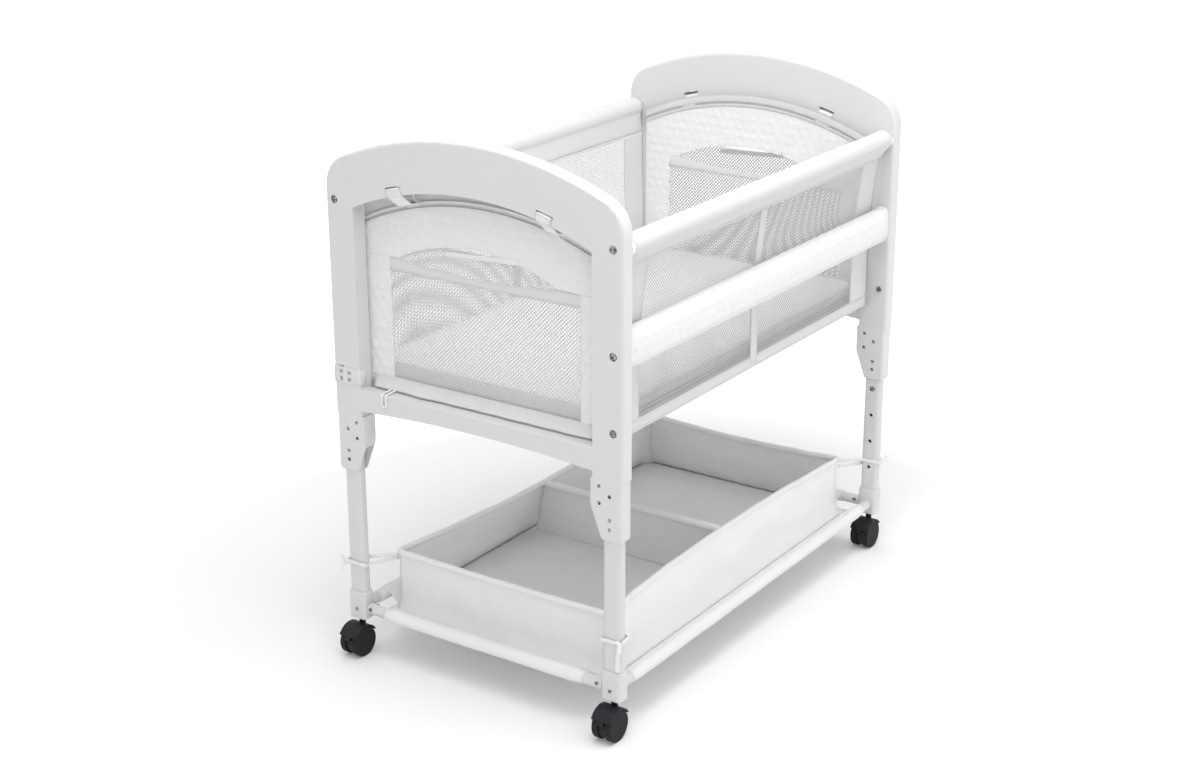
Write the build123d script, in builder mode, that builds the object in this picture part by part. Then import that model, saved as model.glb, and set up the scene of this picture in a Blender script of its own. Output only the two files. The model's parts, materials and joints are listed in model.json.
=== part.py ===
"""Bedside bassinet on a height-adjustable stand with casters.

+X runs along the length from the left end to the right end, -Y is the open front with
two rails, +Y is the rear, +Z is up. Z = 0 is the floor and the origin is the middle of
the footprint, casters included, so the frame's own middle sits at x = mid_x.
"""
import os
from math import asin, cos, degrees, sin, sqrt

from build123d import *

os.makedirs("parts", exist_ok=True)

# Overall size
length = 864            # outer face to outer face of the two ends
width = 537             # over the posts
top_height = 876        # crown of the arches
mid_x = 12              # the casters trail to the left, so the frame sits to the right

# End frames
end_thick = 27
post_width = 52
post_foot = 416         # underside of the posts
arch_radius = 602       # upper edge of the arch
arch_under_radius = 532
arch_under_height = 798
shoulder_radius = 52
edge_round = 5
slot_y, slot_height, slot_length, slot_gap = 137, 793, 30, 4
apron_top, apron_foot, apron_arch_rise = 462, 426, 9
apron_thick = 22

# Rails between the ends
rail_y = 252            # centre line of the top and middle rails
bolt_rise = 3           # bolts enter the rails a little above their centre line
top_rail_z, mid_rail_z = 757, 602
top_rail_radius = 15
low_rail_y, low_rail_z, low_rail_radius = 223.5, 474, 6     # inside the liner, beside its floor
low_rail_socket = 3     # the low rails sit this deep in the posts
leg_bolt_z = 490        # this bolt runs in the slot of each leg
leg_bolt_nut_radius, leg_bolt_nut_height = 4.5, 3
mid_rail_height, mid_rail_thick = 44, 20
plug_length = 30
rail_wall = 1.6
bolt_radius, bolt_head_radius, bolt_head_height = 3, 6, 1.8
bolt_length = 46

# Fabric
cloth = 2.4
soft_gap = 0.3
sleeve = 1.5
mid_pad_height, mid_pad_thick, mid_pad_rise = 64, 32, 6
liner_floor_z = 462
wall_inset = 6          # end walls hang this far inside the end frames
liner_drops = {"left": 16, "right": 6}    # and this far below the arches
liner_half_width = 228
liner_floor_half = 229.8
wall_foot_y, wall_foot_z = 232.5, 459
mattress_length, mattress_width, mattress_thick = 780, 446, 38
board_width, board_thick = 430, 5      # the board lies between the low rails
mattress_seat = 11      # up to here the mattress is as narrow as its board

# Legs and brackets
leg_y = 246
leg_width, leg_depth, leg_corner, leg_wall = 32, 19, 8, 2.5
leg_top, leg_foot = 410, 80
slide_clearance = 0.06
pocket_top = 575
bracket_top, bracket_web_foot, bracket_foot = 416, 365, 320
bracket_outer_y, bracket_inner_y = 266.5, 213
hole_radius, hole_pitch, top_hole_z, pin_radius = 3.25, 50, 302.5, 5
bracket_screws = [(227.6, 404.7), (245.9, 392), (227.6, 378.7), (245.9, 355.1), (245.9, 340.2)]
screw_head_radius, screw_head_height, screw_radius, screw_length = 3.1, 1.8, 1.6, 3.3
dowel_radius, arch_dowel_depth, apron_dowel_depth = 4, 20, 11
arch_dowel_heights, apron_dowel_height = (775, 810), 444

# Stand
foot_top, foot_seam, foot_base = 110, 96, 62
foot_width, foot_depth = 36, 25
rail_z = 80
base_rail_radius, base_rail_wall = 9, 1.5
spigot_length = 24
foot_screw_y = 220
sleeve_radius = 11.2

# Basket
basket_floor_z, basket_top_z = 67, 175
basket_half_x, basket_half_y = 376, 206
rim_bow_x, rim_bow_y = 6, 24      # the rim bows inwards between the corners
flap_inset, flap_gap, flap_rise = 20, 12.5, 9
divider_thick, divider_roll_radius = 3, 7
tie_z, tie_height, tie_thick = 157, 7, 1.4
tie_stand_off = 5

# Casters
wheel_radius, wheel_width, wheel_gap = 25, 11, 12
trail = 13
axle_radius, stem_radius = 3, 5
running_clearance = 0.05
hood_inner, hood_outer, hood_width = 26, 28.5, 35
stem_top = 76

half_length, half_width = length / 2, width / 2
ends = {"left": -1, "right": 1}
sides = {"front": -1, "rear": 1}
corners = [(f"{e}_{s}", ends[e], sides[s]) for e in ends for s in sides]
leg_inset = end_thick / 2
inner_length = length - 2 * end_thick
seam_y = half_width - post_width


def finish(part, name):
    """Label one finished piece and write it as its own STEP file."""
    part.label = name
    export_step(part, f"parts/{name}.step")


def end_low_x(end):
    """Lower X of an end frame's thickness."""
    return mid_x - half_length if end < 0 else mid_x + half_length - end_thick


def outer_x(end):
    return mid_x + end * half_length


def inner_x(end):
    return mid_x + end * inner_length / 2


def leg_x(end):
    return mid_x + end * (half_length - leg_inset)


def span_plane(half_span):
    """A YZ plane at the left end of a piece that runs symmetrically along X."""
    return Plane.YZ.offset(mid_x - half_span)


def dowel_spots(end):
    """X, Z and half length of the dowels across each seam of an end frame."""
    spots = [(leg_x(end), z, arch_dowel_depth) for z in arch_dowel_heights]
    spots.append((outer_x(end) - end * apron_thick / 2, apron_dowel_height, apron_dowel_depth))
    return spots


def rail_bolt_heights(side):
    heights = [top_rail_z] if side > 0 else [top_rail_z, mid_rail_z]
    return [z + bolt_rise for z in heights]


# ---------------------------------------------------------------- end frames
for end_name, end in ends.items():
    for side_name, side in sides.items():
        with BuildPart() as post:
            with BuildSketch(Plane.YZ.offset(end_low_x(end))) as outline:
                with Locations((0, (post_foot + top_height) / 2)):
                    Rectangle(width, top_height - post_foot)
                with Locations((0, top_height - arch_radius)):
                    Circle(arch_radius, mode=Mode.INTERSECT)
                fillet(outline.vertices().sort_by(Axis.Y)[-2:], shoulder_radius)
                with Locations((side * (half_width - post_width / 2), top_height / 2)):
                    Rectangle(post_width, top_height, mode=Mode.INTERSECT)
            extrude(amount=end_thick)
            rim = post.edges().filter_by(lambda e: e.center().Y * side > half_width - 45)
            rim = rim.filter_by(lambda e: abs(e.tangent_at(0.5).X) < 0.1)
            rim = rim.filter_by(lambda e: e.center().Z > post_foot + 1)
            fillet(rim, edge_round)
            with BuildSketch(Plane.XY.offset(post_foot)):
                with Locations((leg_x(end), side * leg_y)):
                    RectangleRounded(leg_depth + 0.5, leg_width + 0.5, leg_corner)
            extrude(amount=pocket_top - post_foot, mode=Mode.SUBTRACT)
            bolt_spots = [(side * rail_y, z) for z in rail_bolt_heights(side) + [leg_bolt_z]]
            with BuildSketch(Plane.YZ.offset(end_low_x(end))):
                with Locations(*bolt_spots):
                    Circle(bolt_radius + 0.3)
            extrude(amount=end_thick, mode=Mode.SUBTRACT)
            with BuildSketch(Plane.YZ.offset(outer_x(end))):
                with Locations(*bolt_spots):
                    Circle(bolt_head_radius + 0.4)
            extrude(amount=-end * (bolt_head_height + 0.2), mode=Mode.SUBTRACT)
            with BuildSketch(Plane.YZ.offset(inner_x(end))):
                with Locations((side * low_rail_y, low_rail_z)):
                    Circle(low_rail_radius + 0.05)
            extrude(amount=end * (low_rail_socket + 0.1), mode=Mode.SUBTRACT)
            for x, z, depth in dowel_spots(end):
                with BuildSketch(Plane.XZ.offset(-side * seam_y)):
                    with Locations((x, z)):
                        Circle(dowel_radius + 0.05)
                extrude(amount=-side * (depth + 0.5), mode=Mode.SUBTRACT)
        finish(post.part, f"{end_name}_{side_name}_post")

    with BuildPart() as arch:
        with BuildSketch(Plane.YZ.offset(end_low_x(end))):
            with Locations((0, top_height - arch_radius)):
                Circle(arch_radius)
            with Locations((0, arch_under_height - arch_under_radius)):
                Circle(arch_under_radius, mode=Mode.SUBTRACT)
            with Locations((0, top_height - 75)):
                Rectangle(2 * seam_y, 150, mode=Mode.INTERSECT)
        extrude(amount=end_thick)
        long_edges = arch.edges().filter_by(lambda e: abs(e.tangent_at(0.5).Y) > 0.9)
        fillet(long_edges.filter_by(lambda e: e.center().Z > arch_under_height), edge_round)
        slot_tilt = degrees(asin(slot_y / (arch_under_radius + 12)))
        for side in (-1, 1):
            with BuildSketch(Plane.YZ.offset(end_low_x(end))):
                with Locations(Location((side * slot_y, slot_height, 0), (0, 0, -side * slot_tilt))):
                    SlotOverall(slot_length, slot_gap)
            extrude(amount=end_thick, mode=Mode.SUBTRACT)
            for x, z, depth in dowel_spots(end)[:2]:
                with BuildSketch(Plane.XZ.offset(-side * seam_y)):
                    with Locations((x, z)):
                        Circle(dowel_radius + 0.05)
                extrude(amount=side * (depth + 0.5), mode=Mode.SUBTRACT)
    finish(arch.part, f"{end_name}_arch")

    with BuildPart() as apron:
        apron_low_x = outer_x(end) if end < 0 else outer_x(end) - apron_thick
        with BuildSketch(Plane.YZ.offset(apron_low_x)):
            with BuildLine():
                crown = (0, apron_foot + apron_arch_rise)
                ThreePointArc((-seam_y, apron_foot), crown, (seam_y, apron_foot))
                Polyline((seam_y, apron_foot), (seam_y, apron_top), (-seam_y, apron_top),
                         (-seam_y, apron_foot))
            make_face()
        extrude(amount=apron_thick)
        top_edges = apron.edges().filter_by(Axis.Y).group_by(Axis.Z)[-1]
        fillet(top_edges, 2)
        for side in (-1, 1):
            x, z, depth = dowel_spots(end)[2]
            with BuildSketch(Plane.XZ.offset(-side * seam_y)):
                with Locations((x, z)):
                    Circle(dowel_radius + 0.05)
            extrude(amount=side * (depth + 0.5), mode=Mode.SUBTRACT)
    finish(apron.part, f"{end_name}_bottom_rail")

with BuildPart() as dowels:
    for corner, end, side in corners:
        for x, z, depth in dowel_spots(end):
            with BuildSketch(Plane.XZ.offset(-side * seam_y - depth)):
                with Locations((x, z)):
                    Circle(dowel_radius)
            extrude(amount=2 * depth)
finish(dowels.part, "frame_dowels")

# Fabric tabs that pass through the arch slots and hold up the liner
tab_width, tab_thick = 25, 1.4
with BuildPart() as tabs:
    for end in (-1, 1):
        for side in (-1, 1):
            tilt = asin(slot_y / (arch_under_radius + 12))
            across = Vector(0, cos(tilt), -side * sin(tilt))
            centre = Vector(mid_x + end * (half_length - end_thick / 2), side * slot_y, slot_height)
            tab_plane = Plane(origin=centre - across * (tab_width / 2), x_dir=(1, 0, 0), z_dir=across)
            strip = sqrt(slot_y**2 + (slot_height - arch_under_height + arch_under_radius)**2)
            strip -= arch_under_radius
            toward_edge = 1 if tab_plane.y_dir.Z < 0 else -1
            with BuildSketch(tab_plane):
                inner_height = strip - slot_gap / 2 + 0.6
                with Locations((0, toward_edge * (strip + slot_gap / 2) / 2)):
                    Rectangle(end_thick + 0.6 + 2 * tab_thick, inner_height + 2 * tab_thick)
                    Rectangle(end_thick + 0.6, inner_height, mode=Mode.SUBTRACT)
            extrude(amount=tab_width)
finish(tabs.part, "liner_tabs")

# ---------------------------------------------------------------- rails
bolt_reach = bolt_length - end_thick
for side_name, side in sides.items():
    with BuildPart() as rail:
        with BuildSketch(span_plane(inner_length / 2)):
            with Locations((side * rail_y, top_rail_z)):
                Circle(top_rail_radius)
        extrude(amount=inner_length)
        with BuildSketch(span_plane(inner_length / 2 - plug_length)):
            with Locations((side * rail_y, top_rail_z)):
                Circle(top_rail_radius - rail_wall)
        extrude(amount=inner_length - 2 * plug_length, mode=Mode.SUBTRACT)
        for end in (-1, 1):
            with BuildSketch(Plane.YZ.offset(inner_x(end))):
                with Locations((side * rail_y, top_rail_z + bolt_rise)):
                    Circle(bolt_radius + 0.05)
            extrude(amount=-end * (bolt_reach + 1), mode=Mode.SUBTRACT)
    finish(rail.part, f"{side_name}_top_rail")

    low_half = inner_length / 2 + low_rail_socket
    with BuildPart() as low_rail:
        with BuildSketch(span_plane(low_half)):
            with Locations((side * low_rail_y, low_rail_z)):
                Circle(low_rail_radius)
                Circle(low_rail_radius - rail_wall, mode=Mode.SUBTRACT)
        extrude(amount=2 * low_half)
    finish(low_rail.part, f"{side_name}_low_rail")

with BuildPart() as mid_rail:
    with BuildSketch(span_plane(inner_length / 2)):
        with Locations((-rail_y, mid_rail_z)):
            RectangleRounded(mid_rail_thick, mid_rail_height, 6)
    extrude(amount=inner_length)
    for end in (-1, 1):
        with BuildSketch(Plane.YZ.offset(mid_x + end * inner_length / 2)):
            with Locations((-rail_y, mid_rail_z + bolt_rise)):
                Circle(bolt_radius + 0.05)
        extrude(amount=-end * (bolt_reach + 1), mode=Mode.SUBTRACT)
finish(mid_rail.part, "front_middle_rail")

with BuildPart() as rail_bolts:
    for end in (-1, 1):
        for side in (-1, 1):
            spots = [(side * rail_y, z) for z in rail_bolt_heights(side)]
            with BuildSketch(Plane.YZ.offset(outer_x(end) - end * 0.2)):
                with Locations(*spots):
                    Circle(bolt_head_radius)
            extrude(amount=-end * bolt_head_height)
            with BuildSketch(Plane.YZ.offset(outer_x(end) - end * bolt_head_height)):
                with Locations(*spots):
                    Circle(bolt_radius)
            extrude(amount=-end * (bolt_length - bolt_head_height))
            with BuildSketch(Plane.YZ.offset(outer_x(end) - end * 0.2)):
                with Locations((side * rail_y, leg_bolt_z)):
                    Circle(bolt_head_radius)
            extrude(amount=-end * bolt_head_height)
            with BuildSketch(Plane.YZ.offset(outer_x(end) - end * bolt_head_height)):
                with Locations((side * rail_y, leg_bolt_z)):
                    Circle(bolt_radius)
            extrude(amount=-end * (end_thick - bolt_head_height))
            with BuildSketch(Plane.YZ.offset(inner_x(end))):
                with Locations((side * rail_y, leg_bolt_z)):
                    Circle(leg_bolt_nut_radius)
            extrude(amount=-end * leg_bolt_nut_height)
finish(rail_bolts.part, "rail_bolts")

# ---------------------------------------------------------------- liner
sleeve_half = inner_length / 2 - 3
sleeve_outer = top_rail_radius + soft_gap + sleeve
for name, side, skirt in (("front_top_sleeve", -1, 724), ("rear_top_sleeve", 1, 708)):
    with BuildPart() as top_sleeve:
        with BuildSketch(span_plane(sleeve_half)):
            with Locations((side * rail_y, top_rail_z)):
                Circle(sleeve_outer)
            flap_y = side * (rail_y - 6 if side < 0 else rail_y - sleeve_outer + cloth / 2)
            with Locations((flap_y, (top_rail_z + skirt) / 2)):
                Rectangle(cloth, top_rail_z - skirt)
            with Locations((side * rail_y, top_rail_z)):
                Circle(top_rail_radius + soft_gap, mode=Mode.SUBTRACT)
        extrude(amount=2 * sleeve_half)
    finish(top_sleeve.part, name)

with BuildPart() as mid_pad:
    with BuildSketch(span_plane(sleeve_half)):
        with Locations((-rail_y, mid_rail_z + mid_pad_rise)):
            RectangleRounded(mid_pad_thick, mid_pad_height, mid_pad_thick / 2 - 0.5)
        with Locations((-rail_y, mid_rail_z)):
            RectangleRounded(mid_rail_thick + 2 * soft_gap, mid_rail_height + 2 * soft_gap, 6,
                             mode=Mode.SUBTRACT)
    extrude(amount=2 * sleeve_half)
finish(mid_pad.part, "front_middle_pad")

wall_foot = (wall_foot_y, wall_foot_z)
side_walls = {
    "front_wall": (-1, [(246, 722), (236, 640), (wall_foot_y, 574), wall_foot]),
    "rear_wall": (1, [(234, 707), (wall_foot_y, 600), wall_foot]),
}
wall_half_span = 394
for name, (side, profile) in side_walls.items():
    with BuildPart() as wall:
        with BuildSketch(span_plane(wall_half_span)):
            with BuildLine():
                Polyline(*[(side * y, z) for y, z in profile],
                         *[(side * (y - cloth), z) for y, z in reversed(profile)], close=True)
            make_face()
        extrude(amount=2 * wall_half_span)
    finish(wall.part, name)

for end_name, end in ends.items():
    with BuildPart() as end_wall:
        wall_x = mid_x + end * (inner_length / 2 - wall_inset)
        with BuildSketch(Plane.YZ.offset(wall_x)):
            with Locations((0, arch_under_height - arch_under_radius)):
                Circle(arch_under_radius - liner_drops[end_name])
            with Locations((0, (liner_floor_z + 3 + arch_under_height) / 2)):
                Rectangle(2 * liner_half_width, arch_under_height - liner_floor_z - 3,
                          mode=Mode.INTERSECT)
            with Locations((-low_rail_y, low_rail_z), (low_rail_y, low_rail_z)):
                Circle(low_rail_radius + soft_gap, mode=Mode.SUBTRACT)
        extrude(amount=-end * cloth)
    finish(end_wall.part, f"{end_name}_end_wall")

with BuildPart() as liner_floor:
    with BuildSketch(Plane.XY.offset(liner_floor_z)):
        with Locations((mid_x, 0)):
            Rectangle(inner_length - 2 * wall_inset, 2 * liner_floor_half)
    extrude(amount=cloth)
finish(liner_floor.part, "liner_floor")

board_z = liner_floor_z + cloth + soft_gap
with BuildPart() as mattress_board:
    with BuildSketch(Plane.XY.offset(board_z)):
        with Locations((mid_x, 0)):
            RectangleRounded(mattress_length, board_width, 12)
    extrude(amount=board_thick)
finish(mattress_board.part, "mattress_board")

with BuildPart() as mattress:
    with BuildSketch(Plane.XY.offset(board_z + board_thick)):
        with Locations((mid_x, 0)):
            RectangleRounded(mattress_length, board_width, 24)
    extrude(amount=mattress_seat)
    with BuildSketch(Plane.XY.offset(board_z + board_thick + mattress_seat)):
        with Locations((mid_x, 0)):
            RectangleRounded(mattress_length, mattress_width, 30)
    extrude(amount=mattress_thick - mattress_seat)
    fillet(mattress.edges().group_by(Axis.Z)[-1], 8)
    fillet(mattress.edges().group_by(Axis.Z)[0], 5)
finish(mattress.part, "mattress_pad")

# ---------------------------------------------------------------- legs and brackets
slot_drop = 78
for corner, end, side in corners:
    x, y = leg_x(end), side * leg_y
    bracket_low_x = end_low_x(end)
    with BuildPart() as bracket:
        with BuildSketch(Plane.YZ.offset(bracket_low_x)) as bracket_face:
            with BuildLine():
                Polyline((side * bracket_outer_y, bracket_foot), (side * bracket_outer_y, bracket_top),
                         (side * bracket_inner_y, bracket_top), (side * bracket_inner_y, bracket_web_foot),
                         (side * (bracket_inner_y + 17), bracket_foot), close=True)
            make_face()
            fillet(bracket_face.vertices().group_by(Axis.Y)[0], 7)
        extrude(amount=end_thick)
        upright = bracket.edges().filter_by(Axis.Z)
        fillet(upright.filter_by(lambda e: abs(e.center().Y) > bracket_outer_y - 1), edge_round)
        with BuildSketch(Plane.XY.offset(bracket_foot)):
            with Locations((x, y)):
                RectangleRounded(leg_depth + 2 * slide_clearance, leg_width + 2 * slide_clearance,
                                 leg_corner)
        extrude(amount=bracket_top - bracket_foot, mode=Mode.SUBTRACT)
        with BuildSketch(Plane.XY.offset(bracket_foot)):
            with Locations((x, side * (bracket_inner_y + 9))):
                Rectangle(leg_depth, 32)
        extrude(amount=bracket_web_foot - bracket_foot, mode=Mode.SUBTRACT)
        for face in (-1, 1):
            spots = [(side * sy, sz) for sy, sz in bracket_screws]
            with BuildSketch(Plane.YZ.offset(x + face * end_thick / 2)):
                with Locations(*spots):
                    Circle(screw_head_radius + 0.1)
            extrude(amount=-face * screw_head_height, mode=Mode.SUBTRACT)
            with BuildSketch(Plane.YZ.offset(x + face * end_thick / 2)):
                with Locations(*spots):
                    Circle(screw_radius + 0.05)
            extrude(amount=-face * (screw_length + 0.2), mode=Mode.SUBTRACT)
    finish(bracket.part, f"{corner}_bracket")

    with BuildPart() as leg:
        with BuildSketch(Plane.XY.offset(leg_foot)):
            with Locations((x, y)):
                RectangleRounded(leg_depth, leg_width, leg_corner)
                RectangleRounded(leg_depth - 2 * leg_wall, leg_width - 2 * leg_wall,
                                 leg_corner - leg_wall, mode=Mode.SUBTRACT)
        extrude(amount=leg_top - leg_foot)
        with BuildSketch(Plane.YZ.offset(x - leg_depth / 2)):
            with Locations((side * rail_y, leg_top - slot_drop / 2)):
                Rectangle(2 * bolt_radius + 6, slot_drop)
        extrude(amount=leg_depth, mode=Mode.SUBTRACT)
        inner_face = x - end * leg_depth / 2
        with BuildSketch(Plane.YZ.offset(inner_face)):
            with Locations(*[(y, top_hole_z - hole_pitch * i) for i in (1, 2, 3)]):
                Circle(hole_radius)
            with Locations((y, top_hole_z)):
                Circle(pin_radius + 0.1)
        extrude(amount=end * leg_wall * 2, mode=Mode.SUBTRACT)
    finish(leg.part, f"{corner}_leg")

with BuildPart() as leg_pins:
    for corner, end, side in corners:
        with BuildSketch(Plane.YZ.offset(leg_x(end) - end * leg_depth / 2)):
            with Locations((side * leg_y, top_hole_z)):
                Circle(pin_radius)
        extrude(amount=end * (leg_depth - leg_wall))
finish(leg_pins.part, "leg_pins")

with BuildPart() as screws:
    for corner, end, side in corners:
        spots = [(side * sy, sz) for sy, sz in bracket_screws]
        for face in (-1, 1):
            with BuildSketch(Plane.YZ.offset(leg_x(end) + face * end_thick / 2)):
                with Locations(*spots):
                    Circle(screw_head_radius)
            extrude(amount=-face * (screw_head_height - 0.1))
            with BuildSketch(Plane.YZ.offset(leg_x(end) + face * end_thick / 2)):
                with Locations(*spots):
                    Circle(screw_radius)
            extrude(amount=-face * screw_length)
finish(screws.part, "bracket_screws")

# ---------------------------------------------------------------- bed strap plates
plate_y, plate_z, plate_width, plate_height, plate_thick = 244, 481, 32, 26, 1.6
rivet_radius = 2.6
with BuildPart() as strap_plates:
    for end in (-1, 1):
        with BuildSketch(Plane.YZ.offset(outer_x(end))):
            with Locations((plate_y, plate_z)):
                RectangleRounded(plate_width, plate_height, 4)
        extrude(amount=end * plate_thick)
        with BuildSketch(Plane.YZ.offset(outer_x(end) + end * plate_thick)):
            with Locations((plate_y, plate_z)):
                with GridLocations(16, 12, 2, 2):
                    Circle(rivet_radius)
        extrude(amount=end * 1.2)
finish(strap_plates.part, "strap_plates")

# ---------------------------------------------------------------- feet and base rails
for corner, end, side in corners:
    x, y = leg_x(end), side * leg_y
    with BuildPart() as foot:
        with BuildSketch(Plane.XY.offset(foot_base)):
            with Locations((x, y)):
                RectangleRounded(foot_depth, foot_width - 2, 6)
        extrude(amount=foot_seam - foot_base)
        with BuildSketch(Plane.XY.offset(foot_seam)):
            with Locations((x, y)):
                RectangleRounded(foot_depth + 1, foot_width, 9)
        extrude(amount=foot_top - foot_seam)
        fillet(foot.edges().group_by(Axis.Z)[-1], 1.5)
        fillet(foot.edges().group_by(Axis.Z)[0], 1.5)
        with BuildSketch(Plane.XZ.offset(-y)):
            with Locations((x, rail_z)):
                Circle(base_rail_radius - base_rail_wall - 0.05)
        extrude(amount=side * (foot_width / 2 + spigot_length))
        with BuildSketch(Plane.YZ.offset(x)):
            with Locations((y, rail_z)):
                Circle(base_rail_radius - base_rail_wall - 0.05)
        extrude(amount=-end * (foot_depth / 2 + spigot_length))
        with BuildSketch(Plane.XY.offset(leg_foot)):
            with Locations((x, y)):
                RectangleRounded(leg_depth + 0.1, leg_width + 0.1, leg_corner)
        extrude(amount=foot_top - leg_foot, mode=Mode.SUBTRACT)
        with BuildSketch(Plane.XY.offset(foot_base)):
            with Locations((x, y)):
                Circle(stem_radius + running_clearance)
        extrude(amount=stem_top - foot_base + 1, mode=Mode.SUBTRACT)
        with BuildSketch(Plane.YZ.offset(x)):
            with Locations((side * foot_screw_y, rail_z + 3)):
                Circle(screw_radius + 0.05)
        extrude(amount=end_thick, both=True, mode=Mode.SUBTRACT)
    finish(foot.part, f"{corner}_foot")

end_rail_span = 2 * (leg_y - foot_width / 2)
for end_name, end in ends.items():
    with BuildPart() as end_base:
        with BuildSketch(Plane.XZ.offset(-end_rail_span / 2)):
            with Locations((leg_x(end), rail_z)):
                Circle(base_rail_radius)
                Circle(base_rail_radius - base_rail_wall, mode=Mode.SUBTRACT)
        extrude(amount=end_rail_span)
        with BuildSketch(Plane.YZ.offset(leg_x(end))):
            with Locations((-foot_screw_y, rail_z + 3), (foot_screw_y, rail_z + 3)):
                Circle(screw_radius + 0.1)
        extrude(amount=end_thick, both=True, mode=Mode.SUBTRACT)
    finish(end_base.part, f"{end_name}_base_rail")

long_rail_span = 2 * (half_length - leg_inset - foot_depth / 2 - 0.5)
for side_name, side in sides.items():
    with BuildPart() as long_base:
        with BuildSketch(span_plane(long_rail_span / 2)):
            with Locations((side * leg_y, rail_z)):
                Circle(base_rail_radius)
                Circle(base_rail_radius - base_rail_wall, mode=Mode.SUBTRACT)
        extrude(amount=long_rail_span)
    finish(long_base.part, f"{side_name}_base_rail")

with BuildPart() as foot_screws:
    for corner, end, side in corners:
        for face in (-1, 1):
            tube_face = leg_x(end) + face * base_rail_radius
            with BuildSketch(Plane.YZ.offset(tube_face)):
                with Locations((side * foot_screw_y, rail_z + 3)):
                    Circle(screw_head_radius)
            extrude(amount=face * 1.4)
        with BuildSketch(Plane.YZ.offset(leg_x(end) - base_rail_radius)):
            with Locations((side * foot_screw_y, rail_z + 3)):
                Circle(screw_radius)
        extrude(amount=2 * base_rail_radius)
        with BuildSketch(Plane.YZ.offset(leg_x(end) + end * foot_depth / 2)):
            with Locations((side * leg_y, foot_base + 17)):
                Circle(screw_head_radius)
        extrude(amount=end * 0.9)
finish(foot_screws.part, "foot_screws")

# ---------------------------------------------------------------- basket
def rim_outline(half_x, half_y):
    """The basket's top outline, four shallow arcs that bow inwards."""
    left, right = mid_x - half_x, mid_x + half_x
    ThreePointArc((left, -half_y), (mid_x, rim_bow_y - half_y), (right, -half_y))
    ThreePointArc((right, -half_y), (right - rim_bow_x, 0), (right, half_y))
    ThreePointArc((right, half_y), (mid_x, half_y - rim_bow_y), (left, half_y))
    ThreePointArc((left, half_y), (left + rim_bow_x, 0), (left, -half_y))


with BuildPart() as tray:
    for inset, mode in ((0, Mode.ADD), (cloth, Mode.SUBTRACT)):
        half_x, half_y = basket_half_x - inset, basket_half_y - inset
        with BuildSketch(Plane.XY.offset(basket_floor_z + inset)):
            with Locations((mid_x, 0)):
                Rectangle(2 * half_x, 2 * half_y)
        with BuildSketch(Plane.XY.offset(basket_top_z)):
            with BuildLine():
                rim_outline(half_x, half_y)
            make_face()
        loft(mode=mode)
finish(tray.part, "basket_tray")

# Flaps from the basket's lower edge out to the sleeves
with BuildPart() as skirt:
    flap_foot, flap_head = basket_floor_z + 0.5, basket_floor_z + 0.5 + flap_rise
    for side in (-1, 1):
        near_y, far_y = basket_half_y + 2 * soft_gap, leg_y - flap_gap
        with BuildSketch(span_plane(basket_half_x - flap_inset)):
            with BuildLine():
                Polyline((side * near_y, flap_foot), (side * far_y, flap_head),
                         (side * far_y, flap_head + cloth), (side * near_y, flap_foot + cloth), close=True)
            make_face()
        extrude(amount=2 * (basket_half_x - flap_inset))
    for end in (-1, 1):
        near_x = mid_x + end * (basket_half_x + 2 * soft_gap)
        far_x = leg_x(end) - end * flap_gap
        with BuildSketch(Plane.XZ.offset(-(basket_half_y - flap_inset))):
            with BuildLine():
                Polyline((near_x, flap_foot), (far_x, flap_head),
                         (far_x, flap_head + cloth), (near_x, flap_foot + cloth), close=True)
            make_face()
        extrude(amount=2 * (basket_half_y - flap_inset))
finish(skirt.part, "basket_skirt")

sleeve_end_half = leg_y - foot_width / 2 - 34
sleeve_long_half = half_length - leg_inset - foot_depth / 2 - 24
with BuildPart() as base_sleeves:
    for end in (-1, 1):
        with BuildSketch(Plane.XZ.offset(-sleeve_end_half)):
            with Locations((leg_x(end), rail_z)):
                Circle(sleeve_radius)
                Circle(base_rail_radius + soft_gap, mode=Mode.SUBTRACT)
        extrude(amount=2 * sleeve_end_half)
    for side in (-1, 1):
        with BuildSketch(span_plane(sleeve_long_half)):
            with Locations((side * leg_y, rail_z)):
                Circle(sleeve_radius)
                Circle(base_rail_radius + soft_gap, mode=Mode.SUBTRACT)
        extrude(amount=2 * sleeve_long_half)
finish(base_sleeves.part, "basket_sleeves")

with BuildPart() as divider:
    roll_z = basket_top_z - divider_roll_radius - 4
    floor_reach = basket_half_y - cloth - 4
    top_reach = basket_half_y - rim_bow_y - cloth - 3
    with BuildSketch(Plane.YZ.offset(mid_x - divider_thick / 2)):
        with BuildLine():
            Polyline((-floor_reach, basket_floor_z + cloth + soft_gap),
                     (floor_reach, basket_floor_z + cloth + soft_gap),
                     (top_reach, roll_z), (-top_reach, roll_z), close=True)
        make_face()
    extrude(amount=divider_thick)
    with BuildSketch(Plane.XZ.offset(-top_reach)):
        with Locations((mid_x, roll_z)):
            Circle(divider_roll_radius)
    extrude(amount=2 * top_reach)
finish(divider.part, "basket_divider")

with BuildPart() as ties:
    for corner, end, side in corners:
        leg_spot = (leg_x(end), side * leg_y)
        basket_spot = (mid_x + end * (basket_half_x + tie_stand_off), side * (basket_half_y + tie_stand_off))
        with BuildSketch(Plane.XY.offset(tie_z)):
            with BuildSketch(mode=Mode.PRIVATE) as loop_hull:
                with Locations(leg_spot):
                    RectangleRounded(leg_depth + 1, leg_width + 1, leg_corner)
                with Locations(basket_spot):
                    Circle(1.5)
                make_hull(loop_hull.sketch.edges())
            add(offset(loop_hull.sketch, amount=tie_thick, mode=Mode.PRIVATE))
            add(loop_hull.sketch, mode=Mode.SUBTRACT)
        extrude(amount=tie_height)
finish(ties.part, "basket_ties")

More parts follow.
